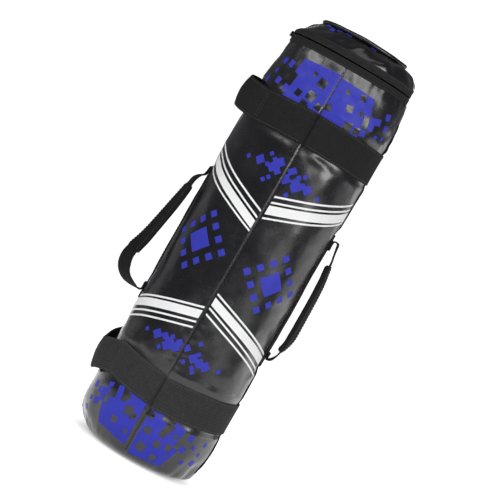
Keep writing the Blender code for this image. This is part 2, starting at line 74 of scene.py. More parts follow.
# Sizes of the CAD model that its boxes don't give
BAG_RADIUS = 0.104
MOUTH_RADIUS = 0.098
SHOULDER_HEIGHT = 0.075
SHOULDER_POWER = 1.6
BASE_CORNER_HEIGHT = 0.056
BASE_CORNER_DEPTH = 0.042
SHELL_WALL = 0.0020
SEAM_GAP = 0.0003
LID_FOOT_RADIUS = 0.0945
LID_BULGE = 0.0035
PIPING_RADIUS = (PIPING_TOP - PIPING_FOOT) / 2
ZIP_TAPE_THICKNESS = 0.0012
ZIP_END = math.radians(160.0)
BAND_WIDTH = 0.050
BAND_THICKNESS = 0.0022
LOOP_AZIMUTH = math.radians(-90.0)
LOOP_HALF_ANGLE = math.radians(41.0)
LOOP_REACH = 0.0175
HANDLE_RADIUS = 0.1078
BACKING_WIDTH = 0.038
BACKING_THICKNESS = 0.0020
BACKING_OVERHANG = 0.013
STRAP_WIDTH = 0.030
STRAP_THICKNESS = 0.0024
SEWN_TAB = 0.011
GRIP_WIDTH = 0.033
GRIP_THICKNESS = 0.0042
SLEEVE_COVER = 0.0011
HANDLE_TOP = BACKING_TOP - BACKING_OVERHANG
HANDLE_FOOT = BACKING_FOOT + BACKING_OVERHANG
HANDLE_SPAN = HANDLE_TOP - HANDLE_FOOT

# The two sides with their sign along X, and the two faces of each
SIDES = {"left": -1, "right": 1}
FACES = ("front", "back")

# How far a handle's tabs and backing are drawn into the vinyl
TAB_SINK = {"left": 0.0011, "right": 0.0030}

# Each handle, with its turn about Z, swing at rest, reach and tail as in the CAD model, its upper and lower
# tab (1 points outwards and -1 inwards), its line and its grip in shares of its reach and drop, and how far
# its flat webbing rolls about its own line, in degrees at shares of its length
HANDLES = {
    "left": {
        "turn": -180.0,
        "swing": 18.0,
        "reach": 0.0428,
        "tail": 0.0140,
        "tabs": (1, -1),
        "line": [
            (0.06, 0.015), (0.18, 0.045), (0.29, 0.09), (0.35, 0.165), (0.54, 0.39), (0.775, 0.635),
            (0.94, 0.757), (1.0, 0.84), (0.90, 0.925), (0.67, 0.98), (0.31, 1.01), (0.10, 1.015), (0.01, 1.0),
        ],
        "grip": (0.135, 0.78),
        "roll": [
            (0.0, 0.0), (0.15, 0.0), (0.30, 7.0), (0.50, 11.0), (0.64, 19.0), (0.75, 29.0), (0.86, 18.0),
            (0.95, 0.0),
        ],
    },
    "right": {
        "turn": 0.0,
        "swing": 0.0,
        "reach": 0.0144,
        "tail": 0.0070,
        "tabs": (-1, -1),
        "line": [
            (0.0, -0.004), (0.05, -0.020), (0.18, -0.0255), (0.33, -0.024), (0.41, -0.008), (0.44, 0.018),
            (0.56, 0.085), (0.65, 0.118), (0.79, 0.2265), (0.88, 0.2935), (0.965, 0.4357), (1.0, 0.644),
            (1.0, 0.762), (0.91, 0.823), (0.70, 0.887), (0.57, 0.928), (0.345, 0.972), (0.20, 0.990),
            (0.06, 0.994), (0.0, 0.978),
        ],
        "grip": (0.143, 0.905),
        "roll": [(0.0, 0.0), (0.20, 0.0), (0.38, -8.0), (0.75, -11.0), (0.88, 0.0)],
    },
}

# Bands: middle height at the front seam, and how far the right side stands above it
BANDS = {"upper": (0.5412, -0.0035), "lower": (0.1088, 0.0035)}

# How far each length of a band is sewn off the level, at degrees round from the front seam
BAND_BOW = {
    ("upper", "left"): [(0, 0.0), (25, -0.0022), (49, -0.0048), (75, -0.0030), (131, 0.0), (180, 0.0)],
    ("upper", "right"): [(0, 0.0), (180, 0.0)],
    ("lower", "left"): [(0, 0.0030), (25, 0.0085), (49, 0.0140), (131, 0.0140), (180, 0.0030)],
    ("lower", "right"): [(0, 0.0), (60, 0.0020), (90, 0.0040), (120, 0.0020), (180, 0.0)],
}

# Camera, from the photograph
CAMERA_DISTANCE = 3.0
CAMERA_AZIMUTH = 3.5
CAMERA_ELEVATION = 2.3
CAMERA_ROLL = 29.7
CAMERA_TARGET = Vector((0.0, 0.0, 0.3475))
CAMERA_LENS = 147.2
IMAGE_WIDTH = 499.0
IMAGE_OFFSET = (1.5, -2.0)

# Colours, linear
VINYL_BLACK = (0.0045, 0.0046, 0.0056)
PRINT_BLUE = (0.035, 0.040, 0.385)
PRINT_WHITE = (0.84, 0.84, 0.84)
# Painted shade: the colour of the matt strip down the middle of each side
SIDE_SHADE_BLACK = (0.016, 0.016, 0.017)
WEBBING_BLACK = (0.030, 0.030, 0.0312)
TAPE_BLACK = (0.019, 0.019, 0.0196)
THREAD_BLACK = (0.030, 0.030, 0.032)
TEETH_BLACK = (0.012, 0.012, 0.013)
METAL_GREY = (0.72, 0.72, 0.73)
FOAM_GREY = (0.30, 0.30, 0.31)
FILLER_GREY = (0.045, 0.048, 0.055)

# Lumps and folds of the soft pieces: height (a share for the ridge, an angle for the drift), seed, shortest
# and longest wave, and a factor on the second direction, which draws them out along it
LUMPS = {
    "body": (0.00045, 11, 0.055, 0.15, 1.0),
    "body_fine": (0.00010, 12, 0.018, 0.04, 1.0),
    "band_ridge": (0.8, 13, 0.03, 0.07, 0.3),
    "pucker_drift": (3.0, 14, 0.05, 0.12, 1.0),
    "mouth_gather": (0.00055, 15, 0.011, 0.03, 0.2),
    "base_fold": (0.0007, 16, 0.02, 0.05, 0.35),
    "shoulder": (0.00050, 17, 0.034, 0.080, 1.0),
    "base": (0.00035, 18, 0.03, 0.07, 1.0),
    "base_crimp": (0.00026, 19, 0.008, 0.017, 0.12),
    "shoulder_crease": (0.00013, 20, 0.012, 0.026, 1.0),
    "lid_fold": (0.0011, 51, 0.016, 0.045, 1.0),
    "lid_dent": (0.0007, 52, 0.02, 0.06, 1.0),
    "piping": (0.0005, 53, 0.05, 0.12, 1.0),
    "lid_panel": (0.0004, 54, 0.03, 0.08, 1.0),
    "filler_slack": (0.0007, 61, 0.03, 0.08, 1.0),
    "filler_pleat": (0.0008, 71, 0.008, 0.02, 0.1),
}
WAVE_COUNT = 16
MILLIMETRE = 0.001


# Numbers

def smooth(value, low, high):
    """0 below low, 1 above high and a smooth step between them."""
    share = np.clip((np.asarray(value, float) - low) / (high - low), 0.0, 1.0)
    return share * share * (3 - 2 * share)


def bell(value, width):
    return np.exp(-((np.asarray(value, float) / width) ** 2))


def near(value, spot):
    """A bell round a spot, which is given as its middle and width."""
    middle, width = spot
    return bell(value - middle, width)


def from_table(value, rows):
    """Values between those of a table of (place, value) rows."""
    return np.interp(value, *np.array(rows).T)


def lumps(kind, x, y, number=0):
    """A lumpy field, from sine waves of seeded direction, length and phase. Each number has its own."""
    height, seed, shortest, longest, drawn_out = LUMPS[kind]
    draw = np.random.default_rng(seed + number)
    y = y * drawn_out
    total = np.zeros(np.broadcast(x, y).shape)
    for _ in range(WAVE_COUNT):
        turn = draw.uniform(0.0, math.pi)
        length = draw.uniform(shortest, longest)
        phase = draw.uniform(0.0, 2 * math.pi)
        total += np.sin(2 * math.pi * (x * math.cos(turn) + y * math.sin(turn)) / length + phase)
    return height * (total / math.sqrt(WAVE_COUNT / 2))


def catmull(points, steps=8):
    """A smooth line through the points."""
    points = np.asarray(points, float)
    padded = np.vstack([2 * points[0] - points[1], points, 2 * points[-1] - points[-2]])
    line = [points[0]]
    for a, b, c, d in zip(padded, padded[1:], padded[2:], padded[3:]):
        for step in range(1, steps + 1):
            t = step / steps
            cubic = (3 * b - a - 3 * c + d) * t**3
            square = (2 * a - 5 * b + 4 * c - d) * t**2
            line.append((2 * b + (c - a) * t + square + cubic) / 2)
    return np.array(line)


def lengths(line):
    steps = np.linalg.norm(np.diff(line, axis=0), axis=1)
    return np.concatenate([[0.0], np.cumsum(steps)])


def resampled(line, pitch):
    """Points along a line, about a pitch apart."""
    line = np.asarray(line, float)
    along = lengths(line)
    count = max(2, round(along[-1] / pitch) + 1)
    places = np.linspace(0.0, along[-1], count)
    return np.stack([np.interp(places, along, column) for column in line.T], axis=1)


def grid(first, second):
    return np.meshgrid(first, second, indexing="ij")


def full_turn(count):
    """Even steps of a full turn, in radians."""
    return np.linspace(0.0, 2 * math.pi, count + 1)[:-1]


def ring_points(azimuth, radius, height, lean=0.0):
    """Points round the bag's axis, which may lean to the right."""
    points = (radius * np.sin(azimuth) + lean, -radius * np.cos(azimuth), height)
    return np.stack(np.broadcast_arrays(*points), axis=-1)


def weave_at(along, across):
    """Places on a woven strip, for its material."""
    along, across = np.broadcast_arrays(along, across)
    return np.stack([along, across, np.zeros(along.shape)], axis=-1)


# Meshes

# Edges that turn by more than these degrees aren't shaded smooth
SHARP_ANGLE = 42.0
METAL_SHARP_ANGLE = 50.0

# A rounded rod's sides, and its width at places along it
ROD_SIDES = 6
ROD_STATIONS = [(-0.5, 0.35), (-0.38, 0.85), (0.0, 1.0), (0.38, 0.85), (0.5, 0.35)]

# A flat section's corner radius, as a share of its thickness, and its points on the flat, as a share of
# its width
SECTION_CORNER = 0.45
SECTION_FLAT = 0.25


def add_object(name, mesh, material, sharp=SHARP_ANGLE):
    mesh.shade_smooth()
    mesh.set_sharp_from_angle(angle=math.radians(sharp))
    mesh.materials.append(material)
    obj = bpy.data.objects.new(name, mesh)
    bpy.context.scene.collection.objects.link(obj)
    return obj


def make(name, verts, faces, material, weave=None):
    """A new object from points and faces, with its normals outwards and smooth shading."""
    mesh = bpy.data.meshes.new(name)
    mesh.from_pydata(np.asarray(verts, float).reshape(-1, 3).tolist(), [], faces)
    bm = bmesh.new()
    bm.from_mesh(mesh)
    bmesh.ops.recalc_face_normals(bm, faces=bm.faces)
    bm.to_mesh(mesh)
    bm.free()
    if weave is not None:
        attribute = mesh.attributes.new("weave", "FLOAT_VECTOR", "POINT")
        attribute.data.foreach_set("vector", np.asarray(weave, np.float32).ravel())
    return add_object(name, mesh, material)


def quads(index, wrap=False):
    """Faces of a grid of vertex numbers. With wrap, the last row joins the first."""
    if wrap:
        index = np.vstack([index, index[:1]])
    corners = (index[:-1, :-1], index[1:, :-1], index[1:, 1:], index[:-1, 1:])
    return np.stack([corner.ravel() for corner in corners], axis=1).tolist()


def skin(name, outer, inner, material, weave=None, wrap=False):
    """A closed sheet between two grids of points. With wrap, its rows go round a ring."""
    rows, columns = outer.shape[:2]
    count = rows * columns
    index = np.arange(count).reshape(rows, columns)
    faces = quads(index, wrap) + quads(index + count, wrap)
    if wrap:
        loops = [np.append(index[:, 0], index[0, 0]), np.append(index[:, -1], index[0, -1])]
    else:
        loops = [np.concatenate([index[:, 0], index[-1, 1:], index[-2::-1, -1], index[0, -2::-1]])]
    for loop in loops:
        faces += [[a, b, b + count, a + count] for a, b in zip(loop.tolist(), loop[1:].tolist())]
    verts = np.concatenate([outer.reshape(-1, 3), inner.reshape(-1, 3)])
    if weave is not None:
        weave = np.concatenate([weave.reshape(-1, 3), weave.reshape(-1, 3)])
    return make(name, verts, faces, material, weave)


def tube_faces(rows, columns, closed=False):
    """Faces through rings of points, with flat ends unless the last ring joins the first."""
    index = np.arange(rows * columns).reshape(rows, columns)
    faces = quads(np.hstack([index, index[:, :1]]), closed)
    return faces if closed else faces + [index[0].tolist(), index[-1].tolist()]


def tube(name, rings, material, weave=None, closed=False):
    """A closed solid through rings of points. A closed tube joins its last ring to its first."""
    return make(name, rings, tube_faces(*rings.shape[:2], closed), material, weave)


def scatter(name, verts, faces, matrices, material):
    """Copies of a small shape, one at each matrix, in one mesh."""
    verts = np.asarray(verts, float)
    matrices = np.asarray(matrices, float)
    placed = np.einsum("nij,vj->nvi", matrices[:, :3, :3], verts) + matrices[:, None, :3, 3]
    all_faces = []
    for i in range(len(matrices)):
        start = i * len(verts)
        all_faces += [[start + v for v in face] for face in faces]
    return make(name, placed, all_faces, material)


def rounded_rod(length, radius):
    """Points and faces of a rounded rod along X."""
    verts = []
    for along, wide in ROD_STATIONS:
        for i in range(ROD_SIDES):
            angle = 2 * math.pi * i / ROD_SIDES
            verts.append((along * length, wide * radius * math.cos(angle), wide * radius * math.sin(angle)))
    return verts, tube_faces(len(ROD_STATIONS), ROD_SIDES)


def rounded_section(width, thickness, steps=3):
    """Points round a flat section with rounded edges, as (across, out)."""
    corner = thickness * SECTION_CORNER
    middle = width * SECTION_FLAT
    points = [(x, y) for y in (-thickness / 2, thickness / 2) for x in (-middle, middle)]
    for turn, sx, sy in ((0, 1, 1), (90, -1, 1), (180, -1, -1), (270, 1, -1)):
        centre = (sx * (width / 2 - corner), sy * (thickness / 2 - corner))
        for i in range(steps + 1):
            angle = math.radians(turn + 90.0 * i / steps)
            points.append((centre[0] + corner * math.cos(angle), centre[1] + corner * math.sin(angle)))
    return np.array(sorted(points, key=lambda p: math.atan2(p[1] / thickness, p[0] / width)))


# The bag's side

PROFILE_STEPS = 60
PROFILE_PITCH = 0.0005


def side_profile():
    """Length along the side from the zip down, with the radius, height and outward normal there."""
    share = np.linspace(0.0, 1.0, PROFILE_STEPS)
    draw_in = (BAG_RADIUS - MOUTH_RADIUS) * (1 - share) ** SHOULDER_POWER
    shoulder = np.stack([BAG_RADIUS - draw_in, SHELL_TOP - SHOULDER_HEIGHT * share], axis=1)
    angle = np.radians(np.linspace(0.0, 90.0, PROFILE_STEPS))
    corner_radius = BAG_RADIUS - BASE_CORNER_DEPTH + BASE_CORNER_DEPTH * np.cos(angle)
    corner = np.stack([corner_radius, BASE_CORNER_HEIGHT * (1 - np.sin(angle))], axis=1)
    hem = np.array([[BASE_RADIUS + SEAM_GAP, 0.0]])
    line = resampled(np.vstack([shoulder, corner, hem]), PROFILE_PITCH)
    slope = np.gradient(line, axis=0)
    slope /= np.linalg.norm(slope, axis=1)[:, None]
    return lengths(line), line[:, 0], line[:, 1], -slope[:, 1], slope[:, 0]


SIDE, SIDE_R, SIDE_Z, SIDE_NR, SIDE_NZ = side_profile()
SIDE_LENGTH = SIDE[-1]
HALF_TURN = math.pi * BAG_RADIUS
CORNER_START = float(np.interp(-BASE_CORNER_HEIGHT, -SIDE_Z, SIDE))


def side_at(t):
    """Length along the side for a t, which is the height on the straight part."""
    return CORNER_START + BASE_CORNER_HEIGHT - np.asarray(t, float)


def t_at(height):
    return CORNER_START + BASE_CORNER_HEIGHT - float(np.interp(-height, -SIDE_Z, SIDE))


MOUTH_T = t_at(SHELL_TOP)


def by_side(x, values):
    return np.where(x < 0, values["left"], values["right"])


def on_face(x, side, face):
    """The signed arc length of a place that is x away from the seam in the middle of a face."""
    return SIDES[side] * (HALF_TURN - x if face == "back" else x)


def band_height(level, x):
    middle, tilt = BANDS[level]
    x = np.asarray(x, float)
    turn = np.degrees(np.abs(x) / BAG_RADIUS)
    bow = {side: from_table(turn, BAND_BOW[level, side]) for side in SIDES}
    return middle + tilt * np.sin(x / BAG_RADIUS) + by_side(x, bow)


def from_seams(x):
    """Arc length to the nearer of the front and back seams."""
    return np.minimum(np.abs(x), HALF_TURN - np.abs(x))


# How far beside and beyond a backing strip the vinyl is drawn in with it
DENT_BESIDE = 0.012
DENT_BEYOND = 0.015


def backing_dent(x, t):
    """How much of the full depth the vinyl is drawn in under the backing strips, from 0 to 1."""
    across = np.abs(np.abs(x) - HALF_TURN / 2) - BACKING_WIDTH / 2
    along = np.maximum(BACKING_FOOT - t, t - BACKING_TOP)
    return (1 - smooth(across, 0.0, DENT_BESIDE)) * (1 - smooth(along, 0.0, DENT_BEYOND))


# How full the bag is at each height, in millimetres, and its twist there, in degrees: its seams lean a little
# to the left towards the base
FULLNESS = [(0.03, -0.4), (0.11, -1.0), (0.24, -0.2), (0.36, 0.1), (0.50, 0.9), (0.58, 0.4), (0.64, 0.0)]
SEAM_DRIFT = [(0.10, -2.2), (0.34, -0.6), (0.58, 0.4)]

# Where the shoulder starts and the base ends, and the distances over which the hem, the zip, a seam and a
# band let go of the vinyl
SHOULDER_STARTS = (0.555, 0.590)
BASE_ENDS = (0.045, 0.085)
HEM_HOLDS = (0.0015, 0.016)
ZIP_HOLDS = (0.002, 0.014)
SEAM_HOLDS = (0.003, 0.016)
BAND_HOLDS = (0.0005, 0.013)

# How deep a band pinches the vinyl, and the height and place of the ridge beside it
BAND_PINCH = {"left": 0.0004, "right": 0.0011}
BAND_RIDGE = {"left": 0.00014, "right": 0.00055}
BAND_RIDGE_AT = (0.0080, 0.0055)

# A seam's groove (its depth and width), the ridge beside it and the puckers across that
GROOVE = (0.0018, 0.0018)
SEAM_RIDGE = 0.0001
SEAM_RIDGE_AT = (0.0062, 0.0036)
PUCKER = 0.00010
PUCKER_PITCH = 0.0125
PUCKER_AT = (0.007, 0.006)

# How soon the gathers at the mouth die away, and the heights of the folds and crimps at the base
GATHER_LENGTH = 0.016
BASE_FOLD_AT = (0.022, 0.020)
BASE_CRIMP_AT = (0.013, 0.011)

# The lean of the shoulder and the base to the right, and the bulge below the upper band (its height, its
# place round the bag, and its top, fullest and lowest t)
SHOULDER_LEAN = 0.0032
SHOULDER_LEAN_AT = (0.605, 0.036)
SHOULDER_LEAN_EAST = (1.0, 0.5)
BASE_LEAN = 0.0012
BASE_LEAN_AT = (0.018, 0.016)
BULGE = 0.0009
BULGE_X = (0.030, 0.030)
BULGE_T = (0.512, 0.475, 0.380)

# Where the fill has settled most into the base's corner
SLUMP = 0.0042
SLUMP_AT = (0.0115, 0.009)
SLUMP_AZIMUTH = math.radians(42.0)
SLUMP_ROUND = (-0.1, 0.8)
SLUMP_STARTS = (0.0, 0.006)


def relief(x, t):
    """How far the filled vinyl stands off the plain shell."""
    height = np.interp(side_at(t), SIDE, SIDE_Z)
    full = from_table(height, FULLNESS) * MILLIMETRE
    seam = from_seams(x)
    from_zip = MOUTH_T - t
    upper = smooth(height, *SHOULDER_STARTS) * smooth(from_zip, *ZIP_HOLDS)
    lower = 1 - smooth(height, *BASE_ENDS)
    uneven = lumps("body", x, t) + lumps("body_fine", x, t)
    uneven = uneven + lumps("shoulder", x, t) * upper + lumps("base", x, t) * lower
    uneven = uneven + lumps("shoulder_crease", x, t) * upper
    east = np.sin(x / BAG_RADIUS)
    lean = SHOULDER_LEAN * near(east, SHOULDER_LEAN_EAST) * near(height, SHOULDER_LEAN_AT)
    lean = lean + BASE_LEAN * east * near(height, BASE_LEAN_AT)
    top, fullest, foot = BULGE_T
    swell = BULGE * smooth(-t, -top, -fullest) * (1 - smooth(-t, -fullest, -foot)) * near(x, BULGE_X)
    pinch = -by_side(x, TAB_SINK) * backing_dent(x, t)
    free = 1.0
    for level in BANDS:
        off = np.abs(t - band_height(level, x)) - BAND_WIDTH / 2
        under = 1 - smooth(off, *BAND_HOLDS)
        free = free * (1 - under)
        ridge = near(off, BAND_RIDGE_AT) * (1.0 + lumps("band_ridge", x, t))
        pinch = pinch - by_side(x, BAND_PINCH) * under + by_side(x, BAND_RIDGE) * ridge
    depth, width = GROOVE
    groove = SEAM_RIDGE * near(seam, SEAM_RIDGE_AT) - depth * bell(seam, width)
    pucker = np.sin(2 * math.pi * t / PUCKER_PITCH + lumps("pucker_drift", x, t))
    pucker = PUCKER * pucker * near(seam, PUCKER_AT)
    gather = lumps("mouth_gather", x, from_zip) * np.exp(-from_zip / GATHER_LENGTH)
    fold = lumps("base_fold", x, t) * near(height, BASE_FOLD_AT)
    crimp = lumps("base_crimp", x, t) * near(height, BASE_CRIMP_AT)
    slump = SLUMP * near(height, SLUMP_AT) * smooth(np.cos(x / BAG_RADIUS - SLUMP_AZIMUTH), *SLUMP_ROUND)
    soft = (uneven * free + gather + fold + crimp) * smooth(seam, *SEAM_HOLDS) + groove + pucker * free
    held = smooth(height, *HEM_HOLDS)
    return (full + pinch + soft + lean + swell) * held + slump * smooth(height, *SLUMP_STARTS)


def on_bag(x, t, lift=0.0, loop=0.0):
    """Points on the vinyl at (x, t), raised by a lift, and by the stand-off of a hand loop."""
    x, t = np.broadcast_arrays(np.asarray(x, float), np.asarray(t, float))
    length = side_at(t)
    out = relief(x, t) + lift
    radius = np.interp(length, SIDE, SIDE_R) + out * np.interp(length, SIDE, SIDE_NR)
    height = np.interp(length, SIDE, SIDE_Z)
    azimuth = x / BAG_RADIUS + np.radians(from_table(height, SEAM_DRIFT))
    height = height + out * np.interp(length, SIDE, SIDE_NZ)
    return ring_points(azimuth, radius + loop, height)


# Materials

class Finish:
    """A material in the making: its node tree, its shader and the object coordinates, in metres."""

    def __init__(self, name, **sockets):
        self.material = bpy.data.materials.new(name)
        self.material.use_nodes = True
        self.tree = self.material.node_tree
        self.shader = self.tree.nodes["Principled BSDF"]
        self.done(**sockets)
        self.coords = self.add("ShaderNodeTexCoord").outputs["Object"]

    def wire(self, made, inputs):
        for key, value in inputs.items():
            if isinstance(value, bpy.types.NodeSocket):
                self.tree.links.new(value, made.inputs[key])
            else:
                made.inputs[key].default_value = value

    def done(self, **sockets):
        """Sets or links sockets of the shader, and gives the material."""
        self.wire(self.shader, {key.replace("_", " "): value for key, value in sockets.items()})
        return self.material

    def add(self, kind, inputs=None, **settings):
        made = self.tree.nodes.new(kind)
        for key, value in settings.items():
            setattr(made, key, value)
        self.wire(made, inputs or {})
        return made

    def math(self, operation, *values):
        return self.add("ShaderNodeMath", dict(enumerate(values)), operation=operation).outputs[0]

    def times(self, first, second):
        return self.math("MULTIPLY", first, second)

    def humps(self, value, wave="SINE"):
        """A row of humps, one to each unit of the value."""
        return self.math("ABSOLUTE", self.math(wave, self.times(value, math.pi)))

    def noise(self, scale, detail=3.0, roughness=0.5, distortion=0.0):
        inputs = {"Vector": self.coords, "Scale": scale, "Detail": detail}
        inputs |= {"Roughness": roughness, "Distortion": distortion}
        return self.add("ShaderNodeTexNoise", inputs).outputs[0]

    def voronoi(self, scale):
        return self.add("ShaderNodeTexVoronoi", {"Vector": self.coords, "Scale": scale}).outputs["Distance"]

    def ranged(self, value, start, end, low=0.0, high=1.0):
        inputs = {"Value": value, "From Min": start, "From Max": end, "To Min": low, "To Max": high}
        return self.add("ShaderNodeMapRange", inputs).outputs[0]

    def mixed(self, share, first, second):
        first, second = ((*c, 1.0) if isinstance(c, tuple) else c for c in (first, second))
        return self.add("ShaderNodeMix", {0: share, 6: first, 7: second}, data_type="RGBA").outputs[2]

    def bump(self, height, strength, distance, normal=None):
        inputs = {"Height": height, "Strength": strength, "Distance": distance}
        if normal is not None:
            inputs["Normal"] = normal
        return self.add("ShaderNodeBump", inputs).outputs[0]

    def woven(self):
        """Places along and across a weave, from the mesh."""
        place = self.add("ShaderNodeAttribute", attribute_name="weave").outputs["Vector"]
        parts = self.add("ShaderNodeSeparateXYZ", {0: place}).outputs
        return parts[0], parts[1]


def lighter(colour, factor):
    return tuple(min(1.0, part * factor) for part in colour)


def vinyl(name, colour, gloss=(0.20, 0.34), change=1.5, coat=0.35, specular=0.5):
    """Coated cloth: a fine leather grain, soft creases and a gloss that varies with handling."""
    cloth = Finish(name, IOR=1.52, Coat_Weight=coat, Coat_Roughness=0.16, Specular_IOR_Level=specular)
    blotch = cloth.noise(16.0, detail=4.0, roughness=0.6)
    base = cloth.mixed(cloth.ranged(blotch, 0.35, 0.75), colour, lighter(colour, change))
    creases = cloth.noise(42.0, detail=5.0, roughness=0.55, distortion=0.9)
    normal = cloth.bump(creases, strength=0.22, distance=0.0011)
    normal = cloth.bump(cloth.voronoi(950.0), strength=0.10, distance=0.0004, normal=normal)
    normal = cloth.bump(cloth.noise(520.0, detail=2.0), strength=0.08, distance=0.0005, normal=normal)
    handling = cloth.noise(31.0, detail=5.0, roughness=0.65)
    return cloth.done(Base_Color=base, Roughness=cloth.ranged(handling, 0.3, 0.75, *gloss), Normal=normal)


# The pitch of the coarse ribs whose shade is painted into the webbing's colour
WEB_RIB = 0.0046


def webbing(name, colour, along=0.0021, across=0.0017, half=None, depth=0.0004, lift=2.2):
    """Woven strap: rows of staggered yarn loops from the weave attribute, with lint, worn edges and painted
    shade between the yarns.
    """
    web = Finish(name, Roughness=0.82, Specular_IOR_Level=0.14)
    place_along, place_across = web.woven()
    column = web.math("DIVIDE", place_across, across)
    stagger = web.times(web.math("FLOORED_MODULO", web.math("FLOOR", column), 2.0), 0.5)
    row = web.math("ADD", web.math("DIVIDE", place_along, along), stagger)
    yarn = web.math("POWER", web.humps(row), 0.6)
    height = web.times(yarn, web.math("POWER", web.humps(column), 0.5))
    lint = web.noise(240.0, detail=4.0, roughness=0.65)
    # Painted shade and highlight: the yarn height sets the colour, darker low between the yarns and lighter on
    # their tops; lint and patches are the webbing's own tone
    yarn_shade_and_tone = web.times(height, web.ranged(lint, 0.25, 0.8, 0.55, 1.15))
    # Painted shade of coarse ribs along the strap, in the colour only
    rib_shade = web.math("SINE", web.times(place_across, 2 * math.pi / WEB_RIB))
    yarn_shade_and_tone = web.times(yarn_shade_and_tone, web.ranged(rib_shade, -1.0, 1.0, 0.82, 1.15))
    patches = web.noise(130.0, roughness=0.7)
    yarn_shade_and_tone = web.times(yarn_shade_and_tone, web.ranged(patches, 0.3, 0.7, 0.75, 1.25))
    # lift sets how light the yarn tops are painted
    base = web.mixed(yarn_shade_and_tone, lighter(colour, 0.45), lighter(colour, lift * 0.62))
    if half is not None:
        worn = web.ranged(web.math("ABSOLUTE", place_across), half * 0.90, half, 0.0, 0.35)
        worn = web.times(worn, web.ranged(web.noise(70.0), 0.35, 0.7))
        base = web.mixed(worn, base, lighter(colour, 3.2))
    normal = web.bump(height, strength=0.7, distance=depth)
    normal = web.bump(lint, strength=0.25, distance=0.0003, normal=normal)
    return web.done(Base_Color=base, Normal=normal)


def moulded(name, colour, rough, metallic=0.0):
    """Moulded or cast finish with fine pits and handling marks."""
    cast = Finish(name, Metallic=metallic)
    marks = cast.noise(190.0, detail=6.0, roughness=0.7)
    base = cast.mixed(cast.ranged(marks, 0.4, 0.8), colour, lighter(colour, 1.6))
    roughness = cast.ranged(cast.noise(420.0, detail=4.0), 0.3, 0.7, *rough)
    normal = cast.bump(marks, strength=0.12, distance=0.0003)
    return cast.done(Base_Color=base, Roughness=roughness, Normal=normal)


def foam(name, colour):
    """Cut foam with open pores, with painted shade that darkens the pores."""
    cut = Finish(name, Roughness=0.95)
    pores = cut.voronoi(620.0)
    stain = cut.noise(24.0, detail=4.0)
    # Painted shade: the colour is darker in the pores; the stains below are the foam's own
    base = cut.mixed(cut.ranged(pores, 0.1, 0.6), lighter(colour, 0.55), colour)
    base = cut.mixed(cut.ranged(stain, 0.4, 0.8, 0.0, 0.4), base, lighter(colour, 0.7))
    return cut.done(Base_Color=base, Normal=cut.bump(pores, strength=0.6, distance=0.0006))


RIPSTOP_GRID = 0.006


def ripstop(name, colour):
    """Woven filler cloth with a grid of thicker yarns, painted lighter as a highlight."""
    cloth = Finish(name, Roughness=0.8, Sheen_Weight=0.15)
    lines = []
    for place in cloth.woven():
        wave = cloth.humps(cloth.math("DIVIDE", place, RIPSTOP_GRID), "COSINE")
        lines.append(cloth.ranged(wave, 0.86, 1.0))
    yarns = cloth.math("MAXIMUM", *lines)
    lint = cloth.noise(300.0, detail=4.0)
    # Painted highlight: the thicker yarns of the grid are lighter; the lint is the cloth's own tone
    base = cloth.mixed(yarns, colour, lighter(colour, 1.9))
    base = cloth.mixed(cloth.ranged(lint, 0.3, 0.8, 0.0, 0.5), base, lighter(colour, 0.6))
    normal = cloth.bump(yarns, strength=0.5, distance=0.0004)
    normal = cloth.bump(lint, strength=0.3, distance=0.0004, normal=normal)
    return cloth.done(Base_Color=base, Normal=normal)


VINYL = vinyl("black_vinyl", VINYL_BLACK)
LID_VINYL = vinyl("lid_vinyl", VINYL_BLACK, (0.16, 0.30))
BLUE = vinyl("blue_print", PRINT_BLUE, (0.34, 0.46), change=1.12, coat=0.0, specular=0.14)
WHITE = vinyl("white_print", PRINT_WHITE, (0.34, 0.46), change=1.03, coat=0.0, specular=0.25)
# Painted shade: a matt black film with no gloss, for the strip down the middle of each side
SIDE_SHADE_FILM = vinyl("painted_shade_side_strip", SIDE_SHADE_BLACK, (0.60, 0.70), change=1.2, coat=0.0, specular=0.0)
# The bands are one webbing in two copies: the lower one is painted about twice as light as the upper one, as
# painted light for the light that falls more on the bag's lower part
BAND_WEB = {
    "upper": webbing("upper_band_webbing", lighter(WEBBING_BLACK, 0.55), half=BAND_WIDTH / 2),
    "lower": webbing("lower_band_webbing_painted_light", lighter(WEBBING_BLACK, 1.2), half=BAND_WIDTH / 2),
}
STRAP_WEB = webbing("strap_webbing", lighter(WEBBING_BLACK, 0.36), half=STRAP_WIDTH / 2)
GRIP_WEB = webbing("grip_webbing", lighter(WEBBING_BLACK, 0.30), half=GRIP_WIDTH / 2)
BACKING_WEB = webbing("backing_webbing", lighter(WEBBING_BLACK, 0.36), half=BACKING_WIDTH / 2)
TAPE_PLAIN = webbing("zip_tape_plain", TAPE_BLACK, 0.0012, 0.0011, depth=0.0002)
# The dotted tape's yarn tops are painted lighter still, as highlight
TAPE_DOTTED = webbing("zip_tape_dotted", lighter(TAPE_BLACK, 0.9), 0.0030, 0.0024, depth=0.0006, lift=3.0)
TEETH = moulded("zip_teeth_plastic", TEETH_BLACK, (0.28, 0.42))
METAL = moulded("zip_metal_finish", METAL_GREY, (0.22, 0.36), metallic=1.0)
THREAD = moulded("thread", THREAD_BLACK, (0.55, 0.75))
FOAM = foam("grey_foam", FOAM_GREY)
FILLER = ripstop("filler_cloth_weave", FILLER_GREY)


# Building blocks

# Places beside a strip's edge, where the even steps begin, and how its edge is rounded off, down to a least
# share
EDGE_STEPS = np.array([0.0, 0.00025, 0.0008])
EDGE_NEXT = 0.0016
EDGE_ROUND = 0.0012
EDGE_LEAST = 0.25

# Stitches: length, pitch and radius
WEBBING_STITCH = (0.0030, 0.0046, 0.00042)
TAPE_STITCH = (0.0026, 0.0040, 0.00036)
SEAM_STITCH = (0.0032, 0.0050, 0.0004)


